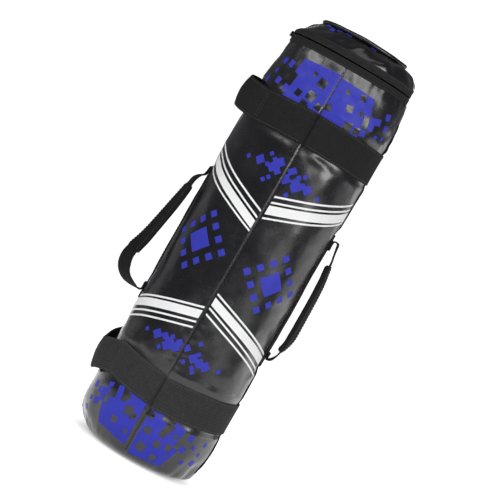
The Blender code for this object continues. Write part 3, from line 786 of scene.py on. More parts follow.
def place(obj, body, slot=None, replaces=()):
    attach(obj, body)
    if replaces:
        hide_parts(*replaces)
    return obj


def edge_steps(half, count):
    """Places across a strip from edge to edge, closer together at its edges."""
    inner = np.linspace(-half + EDGE_NEXT, half - EDGE_NEXT, count)
    return np.concatenate([-half + EDGE_STEPS, inner, half - EDGE_STEPS[::-1]])


def edge_thickness(w, half, thickness):
    """A strip's thickness, full in the middle and rounded off at its edges."""
    over = np.clip((np.abs(w) - (half - EDGE_ROUND)) / EDGE_ROUND, 0.0, 1.0)
    return thickness * np.maximum(np.sqrt(np.clip(1 - over**2, 0.0, 1.0)), EDGE_LEAST)


def stitches(name, rows, body, stitch=WEBBING_STITCH):
    """Rows of separate stitches, as small rods that lie along lines of points."""
    length, pitch, radius = stitch
    matrices = []
    for row in rows:
        points = resampled(row, pitch)
        along = np.gradient(points, axis=0)
        for point, direction in zip(points[1:-1], along[1:-1]):
            turn = Vector(direction).to_track_quat("X", "Z").to_matrix().to_4x4()
            matrices.append(Matrix.Translation(point) @ turn)
    verts, faces = rounded_rod(length, radius)
    return place(scatter(name, verts, faces, matrices, THREAD), body)


# Shell

# Steps beside a seam, in millimetres, and a panel's steps round the bag and along its side
SEAM_STEPS = [0.0, 0.7, 1.4, 2.2, 3.2, 4.3, 5.6, 7.2, 9.2, 11.6, 14.4]
PANEL_STEP = 0.0036
PANEL_ROW_STEP = 0.0030


def seam_graded(step):
    """Arc lengths from the front seam to the back seam, closer together near each seam."""
    beside = np.array(SEAM_STEPS) * MILLIMETRE
    last = beside[-1]
    middle = np.linspace(last, HALF_TURN - last, round((HALF_TURN - 2 * last) / step) + 1)
    return np.concatenate([beside, middle[1:-1], HALF_TURN - beside[::-1]])


def build_panels():
    x = seam_graded(PANEL_STEP)
    t = MOUTH_T - np.linspace(0.0, SIDE_LENGTH, round(SIDE_LENGTH / PANEL_ROW_STEP) + 1)
    for side, sign in SIDES.items():
        xx, tt = grid(sign * x, t)
        panel = skin(f"vinyl_panel_{side}", on_bag(xx, tt), on_bag(xx, tt, -SHELL_WALL), VINYL)
        place(panel, "bag", "vinyl", [f"shell_panel_{side}"])


# Print

PRINT_FILM = 0.00014
PRINT_LIFT = 0.00007

# White stripes: t at the front seam, and t at 70 degrees round, of each stripe's upper edge, and its width
STRIPES = {
    ("left", "upper"): [
        (0.4065, 0.4600, 0.0030), (0.3960, 0.4505, 0.0030),
        (0.3891, 0.4431, 0.0127), (0.3741, 0.4238, 0.0028),
    ],
    ("right", "upper"): [
        (0.4338, 0.4755, 0.0030), (0.4243, 0.4670, 0.0030),
        (0.4180, 0.4606, 0.0140), (0.3990, 0.4447, 0.0028),
    ],
    ("left", "lower"): [
        (0.2500, 0.2142, 0.0030), (0.2435, 0.2085, 0.0128),
        (0.2262, 0.1899, 0.0029), (0.2172, 0.1812, 0.0029),
    ],
    ("right", "lower"): [
        (0.2762, 0.2295, 0.0030), (0.2690, 0.2235, 0.0128),
        (0.2528, 0.2048, 0.0029), (0.2432, 0.1972, 0.0029),
    ],
}
STRIPE_SPAN = math.radians(70.0) * BAG_RADIUS
STRIPE_START = 0.0033
STRIPE_END = 0.141
STRIPE_STEPS = 42
STRIPE_ROW_STEP = 0.0034

# Painted shade: a matt black film with no gloss down the middle of each side, behind the handle, which darkens
# the vinyl there
SIDE_STRIP_HALF = 0.0165
SIDE_STRIP_FOOT = 0.022
SIDE_STRIP_TOP = 0.612
SIDE_STRIP_COLUMNS = 12
SIDE_STRIP_ROWS = 197


def film(name, x, t, material):
    """A thin printed film over a grid of places on the vinyl."""
    outer = on_bag(x, t, PRINT_LIFT + PRINT_FILM)
    return place(skin(name, outer, on_bag(x, t, PRINT_LIFT), material), "bag")


def build_stripes():
    x = np.linspace(STRIPE_START, STRIPE_END, STRIPE_STEPS)
    for (side, level), stripes in STRIPES.items():
        for face in FACES:
            for number, (at_seam, at_side, width) in enumerate(stripes, 1):
                upper = at_seam + (at_side - at_seam) * x / STRIPE_SPAN
                share = np.linspace(0.0, 1.0, max(2, round(width / STRIPE_ROW_STEP) + 1))
                t = upper[:, None] - width * share
                film(f"stripe_{level}_{side}_{face}_{number}", on_face(x, side, face)[:, None], t, WHITE)


# Painted shade: a dark matt film down the middle of each side, behind the handle
def build_shade_strips():
    x = HALF_TURN / 2 + np.linspace(-SIDE_STRIP_HALF, SIDE_STRIP_HALF, SIDE_STRIP_COLUMNS)
    t = np.linspace(SIDE_STRIP_TOP, SIDE_STRIP_FOOT, SIDE_STRIP_ROWS)
    for side, sign in SIDES.items():
        film(f"side_strip_{side}", *grid(sign * x, t), SIDE_SHADE_FILM)


def pinched_corners(filled):
    """Marks the lattice corners where just two squares meet, point to point."""
    padded = np.pad(filled, 1)
    a, b, c, d = padded[:-1, :-1], padded[1:, :-1], padded[:-1, 1:], padded[1:, 1:]
    return (a & d & ~b & ~c) | (b & c & ~a & ~d)


def cells_film(name, filled, to_place, side, face):
    """One blue film over the filled cells of a lattice. to_place turns lattice corners into x and t."""
    key = {}
    corners = []
    pinched = pinched_corners(filled)

    def corner(i, j, cell):
        label = (i, j, cell) if pinched[i, j] else (i, j)
        if label not in key:
            key[label] = len(corners)
            corners.append((i, j))
        return key[label]

    faces, walls = [], []
    for i, j in np.argwhere(filled).tolist():
        ring = [corner(i + a, j + b, (i, j)) for a, b in ((0, 0), (1, 0), (1, 1), (0, 1))]
        faces.append(ring)
        beside = ((i, j - 1), (i + 1, j), (i, j + 1), (i - 1, j))
        for k, (a, b) in enumerate(beside):
            outside = not (0 <= a < filled.shape[0] and 0 <= b < filled.shape[1])
            if outside or not filled[a, b]:
                walls.append((ring[k], ring[(k + 1) % 4]))
    count = len(corners)
    x, t, *_ = to_place(*np.array(corners, float).T)
    x = on_face(x, side, face)
    verts = np.concatenate([on_bag(x, t, PRINT_LIFT + PRINT_FILM), on_bag(x, t, PRINT_LIFT)])
    under = [[v + count for v in reversed(ring)] for ring in faces]
    rims = [[b, a, a + count, b + count] for a, b in walls]
    return place(make(name, verts, faces + under + rims, BLUE), "bag")


# Pixel blocks: the height of the far end, its slope, how far the block keeps clear of the seam, and its seed
BLOCKS = {
    ("left", "upper"): (0.6300, 0.06, 0.0011, 324),
    ("right", "upper"): (0.6265, 0.04, 0.0011, 310),
    ("left", "lower"): (0.0200, 0.10, 0.0052, 317),
    ("right", "lower"): (0.0140, 0.04, 0.0042, 318),
}

# The size of a cell, its parts each way, the cells of a square, and the block's turn and how many cells
# beyond its limits it starts
CELL = 0.0034
CELL_STEPS = 3
SQUARE = 3
BLOCK_TURN = math.radians(12.0)
BLOCK_MARGIN = 6

# A block's squares: columns, rows, rows of the full core, columns beside it, and cells to spare
BLOCK_COLUMNS = 8
BLOCK_ROWS = 10
BLOCK_CORE = 6
BLOCK_BESIDE = 4
BLOCK_SPARE = 4

# The chance of a square beyond the core, and what it loses at the block's end and side
SQUARE_CHANCE = 0.95
CHANCE_LOST_AT_END = 0.40
CHANCE_LOST_AT_SIDE = 0.35

# Holes and loose squares: how many, how far apart and their range of sizes, and the cells they start and
# stop at
HOLES = (6, 5, (2, 5))
HOLES_START = (8, 10)
HOLES_OFF = (5, 4)
LOOSE = (5, 4, (2, 4))
LOOSE_START = 2
STREWN_TRIES = 300

# A cell is printed where it reaches at least this far inside the block's limits
LEAST_STEP = 0.0003


def strewn(draw, filled, value, kind, i_range, j_range):
    """Sets squares of cells to a value, at drawn places well apart from each other."""
    count, gap, sizes = kind
    taken = []
    for _ in range(STREWN_TRIES):
        size = int(draw.integers(*sizes))
        i = int(draw.integers(*i_range))
        j = int(draw.integers(*j_range))
        if len(taken) < count and all(max(abs(i - a), abs(j - b)) > gap for a, b in taken):
            taken.append((i, j))
            filled[i:i + size, j:j + size] = value


def block_cells(seed):
    """Cells of a pixel block, counted from the seam and from its far end towards the band.

    A full core with a few square holes breaks up into squares towards the band, with loose ones beside it.
    """
    draw = np.random.default_rng(seed)
    edge = SQUARE * BLOCK_COLUMNS
    end = SQUARE * BLOCK_ROWS
    reach = edge + SQUARE * BLOCK_BESIDE
    filled = np.zeros((reach + BLOCK_SPARE, end + BLOCK_SPARE), bool)
    filled[:edge, :SQUARE * BLOCK_CORE] = True
    for row in range(BLOCK_CORE, BLOCK_ROWS):
        faded = (row - BLOCK_CORE + 1) / (BLOCK_ROWS - BLOCK_CORE)
        for column in range(BLOCK_COLUMNS + 1):
            at_side = CHANCE_LOST_AT_SIDE if column >= BLOCK_COLUMNS - 1 else 0.0
            if draw.random() < SQUARE_CHANCE - CHANCE_LOST_AT_END * faded - at_side:
                i, j = SQUARE * column, SQUARE * row
                filled[i:i + SQUARE, j:j + SQUARE] = True
    within = zip(HOLES_START, (edge - HOLES_OFF[0], end - HOLES_OFF[1]))
    strewn(draw, filled, False, HOLES, *within)
    strewn(draw, filled, True, LOOSE, (edge + LOOSE_START, reach), (SQUARE * (BLOCK_CORE - 1), end))
    return filled


def block_frame(level, far, slope, clear):
    """Turns the corners of a block's lattice into x and t, kept to its limits, and their depth inside them."""
    up = 1.0 if level == "upper" else -1.0

    def to_place(i, j):
        i = (np.asarray(i, float) / CELL_STEPS - BLOCK_MARGIN) * CELL
        j = (np.asarray(j, float) / CELL_STEPS - BLOCK_MARGIN) * CELL
        x = i * math.cos(BLOCK_TURN) + j * math.sin(BLOCK_TURN)
        t = far + up * (i * math.sin(BLOCK_TURN) - j * math.cos(BLOCK_TURN))
        limit = far - up * slope * x
        inside = np.minimum(x - clear, up * (limit - t))
        return np.maximum(x, clear), up * np.minimum(up * t, up * limit), inside

    return to_place


def build_blocks():
    """Blue pixel blocks above the upper band and below the lower one, on both faces of both panels."""
    for (side, level), (far, slope, clear, seed) in BLOCKS.items():
        filled = np.kron(block_cells(seed), np.ones((CELL_STEPS, CELL_STEPS), bool))
        to_place = block_frame(level, t_at(far), slope, clear)
        inside = to_place(*grid(*(np.arange(size + 1) for size in filled.shape)))[2]
        deepest = np.maximum(inside[:-1], inside[1:])
        deepest = np.maximum(deepest[:, :-1], deepest[:, 1:])
        filled = filled & (deepest > LEAST_STEP)
        for face in FACES:
            cells_film(f"pixel_block_{level}_{side}_{face}", filled, to_place, side, face)


DIAMOND_CELL = 0.0031
DIAMOND_TURN = math.radians(45.0)

# Diamonds beside the stripes: the middle and seed of each group, and the middle and cells of each loose one
CLUSTERS = {
    ("left", "upper"): (
        (0.0205, 0.4690), 31,
        [((0.0430, 0.4700), 4), ((0.0630, 0.4660), 2), ((0.0310, 0.4850), 2), ((0.0240, 0.4470), 2)],
    ),
    ("right", "upper"): (
        (0.0195, 0.4650), 32,
        [((0.0390, 0.4640), 4), ((0.0600, 0.4600), 2), ((0.0270, 0.4790), 2), ((0.0160, 0.4434), 2)],
    ),
    ("left", "lower"): (
        (0.0215, 0.1800), 33,
        [((0.0450, 0.1810), 4), ((0.0650, 0.1790), 2), ((0.0330, 0.1660), 2)],
    ),
    ("right", "lower"): (
        (0.0200, 0.1760), 34,
        [((0.0410, 0.1730), 4), ((0.0630, 0.1760), 2), ((0.0280, 0.1580), 2), ((0.0190, 0.1990), 2)],
    ),
}

# A group's cells each way, its middle square, and the other squares with their ranges of sizes and moves.
# Cells further off the diagonal than the cut, towards the seam, are left out
CLUSTER_SIZE = 14
CLUSTER_MIDDLE = slice(5, 9)
CLUSTER_SQUARES = ((2, 7), (8, 3), (9, 8), (5, 10), (3, 2))
CLUSTER_SIZES = (2, 5)
CLUSTER_MOVES = (-1, 2)
CLUSTER_CUT = -8

# Motif: the middle of each one, its squares from corner to corner, and the cells and size of a square
MOTIF_PLACES = {"left": (0.0650, 0.3270), "right": (0.0655, 0.3220)}
MOTIF_SQUARES = 7
MOTIF_STEP = 4
MOTIF_CELL = 0.0025


def diamond_frame(middle, unit, cells):
    """Turns the corners of a square lattice that stands on its point into x and t."""
    foot = middle[1] - cells * unit * math.sqrt(0.5)

    def to_place(i, j):
        x = middle[0] + unit * (i * math.cos(DIAMOND_TURN) - j * math.sin(DIAMOND_TURN))
        t = foot + unit * (i * math.sin(DIAMOND_TURN) + j * math.cos(DIAMOND_TURN))
        return x, t

    return to_place


def cluster_cells(seed):
    """Cells of a group of squares that touch at their corners and edges."""
    draw = np.random.default_rng(seed)
    filled = np.zeros((CLUSTER_SIZE, CLUSTER_SIZE), bool)
    filled[CLUSTER_MIDDLE, CLUSTER_MIDDLE] = True
    for i, j in CLUSTER_SQUARES:
        size = int(draw.integers(*CLUSTER_SIZES))
        i = i + int(draw.integers(*CLUSTER_MOVES))
        j = j + int(draw.integers(*CLUSTER_MOVES))
        filled[i:i + size, j:j + size] = True
    steps = np.arange(CLUSTER_SIZE)
    return filled & ~(np.add.outer(steps, -steps) < CLUSTER_CUT)


def build_clusters():
    """Blue diamonds beside the stripes: a group near the seam, and loose ones round it."""
    for (side, level), (middle, seed, loose) in CLUSTERS.items():
        shapes = [(middle, cluster_cells(seed))]
        shapes += [(spot, np.ones((cells, cells), bool)) for spot, cells in loose]
        for face in FACES:
            for number, (spot, filled) in enumerate(shapes, 1):
                to_place = diamond_frame(spot, DIAMOND_CELL, len(filled))
                cells_film(f"diamonds_{level}_{side}_{face}_{number}", filled, to_place, side, face)


def build_motifs():
    """A plain motif in the middle of each panel's face: a ring of small diamonds round a larger one."""
    middle = MOTIF_SQUARES // 2
    steps = np.arange(MOTIF_SQUARES)
    i, j = grid(steps, steps)
    out = np.maximum(np.abs(i - middle), np.abs(j - middle))
    squares = (out <= 1) | ((out == middle) & ((i + j) % 2 == 0))
    filled = np.kron(squares, np.ones((MOTIF_STEP, MOTIF_STEP), bool))
    for side, spot in MOTIF_PLACES.items():
        to_place = diamond_frame(spot, MOTIF_CELL, len(filled))
        for face in FACES:
            cells_film(f"diamond_motif_{side}_{face}", filled, to_place, side, face)


# Webbing bands

# How far each hand loop stands off, as shares of the CAD loop's reach at places across the band,
# and how far the loop rides up on its way round the side, at degrees from the front seam
LOOP_SLANT = {
    "upper": [(-0.025, 0.92), (-0.012, 1.08), (0.0, 1.12), (0.012, 1.04), (0.025, 0.82)],
    "lower": [(-0.025, 0.62), (-0.012, 0.82), (0.0, 0.95), (0.012, 0.97), (0.025, 0.88)],
}
LOOP_RISE = {
    "upper": [
        (55, 0.0), (68, 0.0012), (80, 0.0033), (92, 0.0053), (105, 0.0065), (125, 0.0062), (142, 0.0033),
        (165, 0.0),
    ],
    "lower": [
        (49, 0.0), (62, -0.0050), (76, -0.0115), (87, -0.0150), (93, -0.0120), (102, -0.0010), (113, 0.0085),
        (124, 0.0115), (136, 0.0085), (152, 0.0030), (166, 0.0),
    ],
}

# The depth and width of a band's dip at the seams, and the arc length that keeps its ends on their own side
BAND_DIP = (0.0010, 0.0025)
NEAREST_SEAM = 0.000001

# Steps of a band's surface, and its stitch rows: off its middle, from its ends and beside the ends of a loop
BAND_STEP = 0.0040
BAND_COLUMNS = 11
BAND_ROW = 0.0222
BAND_ROW_END = 0.004
BAND_ROW_POINTS = 160
LOOP_ROW = 0.002
LOOP_ROW_POINTS = 24


def loop_lift(level, x, w):
    share = (x / BAG_RADIUS - LOOP_AZIMUTH) / LOOP_HALF_ANGLE
    return LOOP_REACH * from_table(w, LOOP_SLANT[level]) * np.maximum(0.0, 1 - share**2)


def band_place(level, side, x, w, lift):
    """Points on a band at arc length x and place w across it, which dips into the front and back seams."""
    x = np.maximum(x, NEAREST_SEAM)
    at = SIDES[side] * x
    depth, width = BAND_DIP
    lift = SEAM_GAP + lift - depth * bell(from_seams(x), width)
    t = band_height(level, at) + w
    loop = 0.0
    if side == "left":
        t = t + from_table(np.degrees(x / BAG_RADIUS), LOOP_RISE[level])
        loop = loop_lift(level, at, w)
    return on_bag(at, t, lift, loop)


def build_bands():
    rows = []
    xx, ww = grid(seam_graded(BAND_STEP), edge_steps(BAND_WIDTH / 2, BAND_COLUMNS))
    thick = edge_thickness(ww, BAND_WIDTH / 2, BAND_THICKNESS)
    along = np.linspace(BAND_ROW_END, HALF_TURN - BAND_ROW_END, BAND_ROW_POINTS)
    across = np.linspace(-BAND_ROW, BAND_ROW, LOOP_ROW_POINTS)
    for level in BANDS:
        for side in SIDES:
            outer = band_place(level, side, xx, ww, BAND_THICKNESS / 2 + thick / 2)
            inner = band_place(level, side, xx, ww, BAND_THICKNESS / 2 - thick / 2)
            band = skin(f"{level}_webbing_{side}", outer, inner, BAND_WEB[level], weave_at(xx, ww))
            place(band, "bag", "webbing", [f"{level}_band_{side}"])
            rows += [band_place(level, side, along, w, BAND_THICKNESS) for w in (-BAND_ROW, BAND_ROW)]
            if side == "left":
                for end in (LOOP_AZIMUTH - LOOP_HALF_ANGLE, LOOP_AZIMUTH + LOOP_HALF_ANGLE):
                    for step in (-LOOP_ROW, LOOP_ROW):
                        x = abs(end) * BAG_RADIUS + step
                        rows.append(band_place(level, side, x, across, BAND_THICKNESS))
    stitches("band_stitching", rows, "bag")


# Handles

# Steps of a backing strip's surface, and its stitch rows: in from its edges and ends
BACKING_COLUMNS = 9
BACKING_ROWS = 76
BACKING_ROW = 0.003
BACKING_ROW_POINTS = 120

# Stitch rows across a tab: their places along it, half their length, and their points
TAB_ROWS = (0.0092, 0.0068)
TAB_ROW_HALF = 0.0125
TAB_ROW_POINTS = 20

# The pitch of points along a strap, and the share of a tail's reach beyond which a grip may start
HANDLE_PITCH = 0.0025
GRIP_START = 0.8

# The grip's room for the strap across and out, the crown of its pad, how far its ends close and over what
# length, and its stitch rows: off its middle and above its cover
SLOT_ROOM = (0.0010, 0.0006)
PAD_CROWN = 0.30
PAD_CROWN_POWER = 3
GRIP_CLOSING = 0.45
GRIP_CLOSING_LENGTH = 0.0035
GRIP_ROW = 0.0140
GRIP_ROW_LIFT = 0.0001
GRIP_CORNER_STEPS = 4


def build_backing(side):
    half = BACKING_WIDTH / 2
    t = np.linspace(BACKING_FOOT, BACKING_TOP, BACKING_ROWS)
    ww, tt = grid(edge_steps(half, BACKING_COLUMNS), t)
    x = SIDES[side] * (HALF_TURN / 2 + ww)
    outer = on_bag(x, tt, SEAM_GAP + edge_thickness(ww, half, BACKING_THICKNESS))
    inner = on_bag(x, tt, SEAM_GAP)
    backing = skin(f"{side}_backing_webbing", outer, inner, BACKING_WEB, weave_at(tt, ww))
    place(backing, "bag", "webbing", [f"{side}_handle_backing"])
    t = np.linspace(BACKING_FOOT + BACKING_ROW, BACKING_TOP - BACKING_ROW, BACKING_ROW_POINTS)
    rows = [SIDES[side] * (HALF_TURN / 2 + w) for w in (-half + BACKING_ROW, half - BACKING_ROW)]
    return [on_bag(x, t, SEAM_GAP + BACKING_THICKNESS) for x in rows]


def handle_line(handle):
    """The strap's middle line as (reach, height), from its upper tab to its lower one."""
    upper_tab, lower_tab = (way * SEWN_TAB for way in handle["tabs"])
    points = [(0.0, HANDLE_TOP + upper_tab)]
    points += [(handle["reach"] * out, HANDLE_TOP - HANDLE_SPAN * drop) for out, drop in handle["line"]]
    points += [(0.0, HANDLE_FOOT - lower_tab)]
    return resampled(catmull(points), HANDLE_PITCH)


def offsets(line):
    """The direction square to a line at each of its points, towards the bag."""
    along = np.gradient(line, axis=0)
    along /= np.linalg.norm(along, axis=1)[:, None]
    return np.stack([along[:, 1], -along[:, 0]], axis=1)


def handle_points(side, reach, across, height):
    """Points of a handle in the bag's frame. Its tabs hug the backing, and its tails twist to the strap."""
    handle = HANDLES[side]
    share = smooth(reach, 0.0, handle["tail"])
    reach = reach - (1 - share) * (across**2 / (2 * HANDLE_RADIUS) + TAB_SINK[side])
    turn = np.radians(handle["turn"] + handle["swing"] * share)
    x = SIDES[side] * HANDLE_RADIUS + reach * np.cos(turn) - across * np.sin(turn)
    y = reach * np.sin(turn) + across * np.cos(turn)
    return np.stack(np.broadcast_arrays(x, y, height), axis=-1)


def handle_course(handle):
    """A handle's line, the direction towards the bag and the roll of the webbing, at each point of it."""
    line = handle_line(handle)
    share = lengths(line) / lengths(line)[-1]
    roll = np.radians(from_table(share, handle["roll"]))
    return line, offsets(line), roll[:, None]


def strap_places(side, course, section):
    """Points of a section, given as (across, out), at each point of a handle's course."""
    line, normal, roll = course
    across = section[None, :, 0] * np.cos(roll) + section[None, :, 1] * np.sin(roll)
    out = section[None, :, 1] * np.cos(roll) - section[None, :, 0] * np.sin(roll)
    reach = line[:, :1] - normal[:, :1] * out
    height = line[:, 1:] - normal[:, 1:] * out
    return handle_points(side, reach, across, height)


def build_strap(side, course):
    """The whole strap, from its upper tab through its tails and free length to its lower tab."""
    section = rounded_section(STRAP_WIDTH, STRAP_THICKNESS)
    points = strap_places(side, course, section)
    weave = weave_at(lengths(course[0])[:, None], section[:, 0])
    strap = tube(f"{side}_strap_webbing", points, STRAP_WEB, weave)
    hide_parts(*[f"{side}_handle_{part}" for part in ("upper_tail", "strap", "lower_tail")])
    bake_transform(strap)


def build_grip(side, course):
    """The padded sleeve: a thin cover outside, a crowned pad inside and a slot for the strap."""
    handle = HANDLES[side]
    high, low = (HANDLE_TOP - HANDLE_SPAN * share for share in handle["grip"])
    reach, height = course[0].T
    held = (height < high) & (height > low) & (reach > handle["tail"] * GRIP_START)
    course = tuple(part[held] for part in course)
    along = lengths(course[0])
    ends_in = np.minimum(along, along[-1] - along)[:, None]
    outside = STRAP_THICKNESS / 2 + SEAM_GAP + SLEEVE_COVER
    inside = STRAP_THICKNESS / 2 + SEAM_GAP + GRIP_THICKNESS
    section = rounded_section(GRIP_WIDTH, outside + inside, GRIP_CORNER_STEPS)
    room_across, room_out = SLOT_ROOM
    slot = rounded_section(STRAP_WIDTH + room_across, STRAP_THICKNESS + room_out, GRIP_CORNER_STEPS)
    crown = 1.0 - PAD_CROWN * (np.abs(section[:, 0]) / (GRIP_WIDTH / 2)) ** PAD_CROWN_POWER
    pad = np.where(section[:, 1] < 0, crown, 1.0)
    body = np.stack([section[:, 0], section[:, 1] * pad + (outside - inside) / 2], axis=1)
    outer = strap_places(side, course, body)
    inner = strap_places(side, course, slot)
    closing = GRIP_CLOSING * (1 - smooth(ends_in, 0.0, GRIP_CLOSING_LENGTH))[:, :, None]
    outer = outer * (1 - closing) + inner * closing
    weave = weave_at(along[:, None], section[:, 0])
    outer, inner, weave = (part.transpose(1, 0, 2) for part in (outer, inner, weave))
    grip = skin(f"{side}_grip_sleeve", outer, inner, GRIP_WEB, weave, wrap=True)
    place(grip, f"{side}_handle", "webbing", [f"{side}_handle_grip"])
    edges = np.array([(way * GRIP_ROW, outside + GRIP_ROW_LIFT) for way in (-1, 1)])
    rows = strap_places(side, course, edges)
    stitches(f"{side}_grip_stitching", [rows[:, 0], rows[:, 1]], f"{side}_handle")


def build_handles():
    rows = []
    across = np.linspace(-TAB_ROW_HALF, TAB_ROW_HALF, TAB_ROW_POINTS)
    for side, handle in HANDLES.items():
        rows += build_backing(side)
        course = handle_course(handle)
        build_strap(side, course)
        build_grip(side, course)
        upper_tab, lower_tab = handle["tabs"]
        levels = [HANDLE_TOP + upper_tab * row for row in TAB_ROWS]
        levels += [HANDLE_FOOT - lower_tab * row for row in TAB_ROWS]
        rows += [handle_points(side, STRAP_THICKNESS / 2, across, level) for level in levels]
    stitches("handle_stitching", rows, "bag")


# Zip

# Profiles of the tapes as (radius, height), from the top down, and of the strip that joins them at the back
TAPE_LOWER = [(MOUTH_RADIUS, LOWER_TAPE_TOP), (MOUTH_RADIUS, LOWER_TAPE_FOOT)]
TAPE_DRAWN_IN = 0.0006
TAPE_BEND = [
    (LID_FOOT_RADIUS, UPPER_TAPE_TOP),
    (MOUTH_RADIUS - TAPE_DRAWN_IN, (UPPER_TAPE_FOOT + UPPER_TAPE_TOP) / 2),
]
TAPE_UPPER = TAPE_BEND + [(MOUTH_RADIUS, UPPER_TAPE_FOOT)]
HINGE_PROFILE = TAPE_BEND + TAPE_LOWER

# Steps of the tapes' surface, and their stitch rows: the angle from the tape's end, and the distances from
# its edge and outwards
TAPE_STEPS = 4
TAPE_PITCH = 0.0014
TAPE_POINTS = 260
TAPE_ROW_END = 0.03
TAPE_ROW_POINTS = 400
LOWER_TAPE_ROW = 0.0020
UPPER_TAPE_ROW = 0.0022
UPPER_TAPE_ROW_OUT = 0.0012

# The hinge strip's steps, its angle clear of the zip's ends, and the heights between which it bends
HINGE_STEPS = 6
HINGE_PITCH = 0.0011
HINGE_POINTS = 36
HINGE_GAP = 0.003

# Teeth: their pitch and size, how far they stand behind the tape and back from its edge, and one's outline
TEETH_PITCH = 0.0020
TEETH_SIZE = (0.0012, 0.0022, 0.0033)
TEETH_BEHIND = 0.0012
TEETH_FOOT = 0.0030
TOOTH = [(-0.5, 0.0), (-0.5, 0.62), (-0.28, 0.9), (0.0, 1.0), (0.28, 0.9), (0.5, 0.62), (0.5, 0.0)]

# Metal pieces: the radius and steps of a rounded edge, the angles that make an edge sharp or a face flat, and
# the distance at which points are one
METAL_EDGE = 0.0004
METAL_EDGE_STEPS = 3
METAL_SHARP = math.radians(30.0)
METAL_FLAT = math.radians(2.0)
SAME_POINT = 0.00001


def ring_strip(name, profile, steps, pitch, azimuth, material):
    """A woven strip round the mouth, along a profile of (radius, height) points."""
    line = resampled(catmull(profile, steps), pitch)
    aa, rr = grid(azimuth, line[:, 0])
    height = line[:, 1]
    outer = ring_points(aa, rr, height, lid_lean(height))
    inner = ring_points(aa, rr - ZIP_TAPE_THICKNESS, height, lid_lean(height))
    return skin(name, outer, inner, material, weave_at(aa * MOUTH_RADIUS, lengths(line)))


def tooth():
    """Points and faces of one moulded tooth: a block with a rounded head, along Z."""
    verts = [(x, y, z) for y in (-0.5, 0.5) for x, z in TOOTH]
    count = len(TOOTH)
    faces = [list(range(count)), list(range(count, 2 * count))]
    faces += [[i, (i + 1) % count, (i + 1) % count + count, i + count] for i in range(count)]
    return np.array(verts) * TEETH_SIZE, faces


def build_teeth():
    """Two rows of teeth, half a pitch apart, that point at each other."""
    radius = MOUTH_RADIUS - ZIP_TAPE_THICKNESS - SEAM_GAP - TEETH_BEHIND
    count = round(2 * ZIP_END * radius / TEETH_PITCH)
    verts, faces = tooth()
    for level, foot, flip, shift, body in (
        ("lower", LOWER_TAPE_TOP - TEETH_FOOT, 1.0, 0.25, "bag"),
        ("upper", UPPER_TAPE_FOOT + TEETH_FOOT, -1.0, 0.75, "lid"),
    ):
        stand = Matrix.Translation((0.0, -radius, foot)) @ Matrix.Diagonal((1.0, 1.0, flip, 1.0))
        turns = [-ZIP_END + 2 * ZIP_END * (i + shift) / count for i in range(count)]
        matrices = [Matrix.Rotation(turn, 4, "Z") @ stand for turn in turns]
        row = scatter(f"zip_teeth_row_{level}", verts, faces, matrices, TEETH)
        place(row, body, "zip_teeth", [f"zip_teeth_{level}"])


def metal_piece(node, name, body):
    """A copy of a small CAD solid with its edges rounded, to stand for it."""
    bm = bmesh.new()
    bm.from_mesh(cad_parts[node].data)
    bmesh.ops.remove_doubles(bm, verts=bm.verts, dist=SAME_POINT)
    bmesh.ops.dissolve_limit(bm, angle_limit=METAL_FLAT, verts=bm.verts, edges=bm.edges)
    sharp = [edge for edge in bm.edges if edge.is_manifold and edge.calc_face_angle() > METAL_SHARP]
    bmesh.ops.bevel(
        bm, geom=sharp, offset=METAL_EDGE, segments=METAL_EDGE_STEPS, profile=0.5, affect="EDGES",
        clamp_overlap=True,
    )
    bmesh.ops.recalc_face_normals(bm, faces=bm.faces)
    mesh = bpy.data.meshes.new(name)
    bm.to_mesh(mesh)
    bm.free()
    return place(add_object(name, mesh, METAL, METAL_SHARP_ANGLE), body, "zip_metal", [node])


def build_zip():
    azimuth = np.linspace(-ZIP_END, ZIP_END, TAPE_POINTS)
    for level, profile, material, body in (
        ("lower", TAPE_LOWER, TAPE_PLAIN, "bag"),
        ("upper", TAPE_UPPER, TAPE_DOTTED, "lid"),
    ):
        tape = ring_strip(f"zip_weave_{level}", profile, TAPE_STEPS, TAPE_PITCH, azimuth, material)
        place(tape, body, "zip_tape", [f"zip_tape_{level}"])
    build_teeth()
    metal_piece("zip_slider", "zip_slider_body", "zip_slider")
    metal_piece("zip_pull", "zip_pull_tab", "zip_pull")
    for side in SIDES:
        metal_piece(f"zip_stop_{side}", f"zip_stop_clip_{side}", "bag")
    azimuth = np.linspace(-ZIP_END + TAPE_ROW_END, ZIP_END - TAPE_ROW_END, TAPE_ROW_POINTS)
    row = ring_points(azimuth, MOUTH_RADIUS, LOWER_TAPE_FOOT + LOWER_TAPE_ROW)
    stitches("lower_tape_stitching", [row], "bag", TAPE_STITCH)
    height = UPPER_TAPE_TOP - UPPER_TAPE_ROW
    row = ring_points(azimuth, LID_FOOT_RADIUS + UPPER_TAPE_ROW_OUT, height, lid_lean(height))
    stitches("upper_tape_stitching", [row], "lid", TAPE_STITCH)
    build_hinge_strip()


def build_hinge_strip():
    """The webbing at the back, between the ends of the zip, where the lid is hinged."""
    end = ZIP_END + HINGE_GAP
    azimuth = np.linspace(end, 2 * math.pi - end, HINGE_POINTS)
    strip = ring_strip("lid_hinge_webbing", HINGE_PROFILE, HINGE_STEPS, HINGE_PITCH, azimuth, STRAP_WEB)
    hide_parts("lid_hinge_strip")
    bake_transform(strip)


# Lid

# How far the slack lid leans to the right, at shares of its height from the zip's teeth to the piping
LID_LEAN = [
    (0.0, 0.0), (0.17, 0.0), (0.34, 0.0036), (0.52, 0.0058), (0.80, 0.0072), (0.92, 0.0042), (1.0, 0.0010),
]
LID_PIPING_LEAN = LID_LEAN[-1][1]

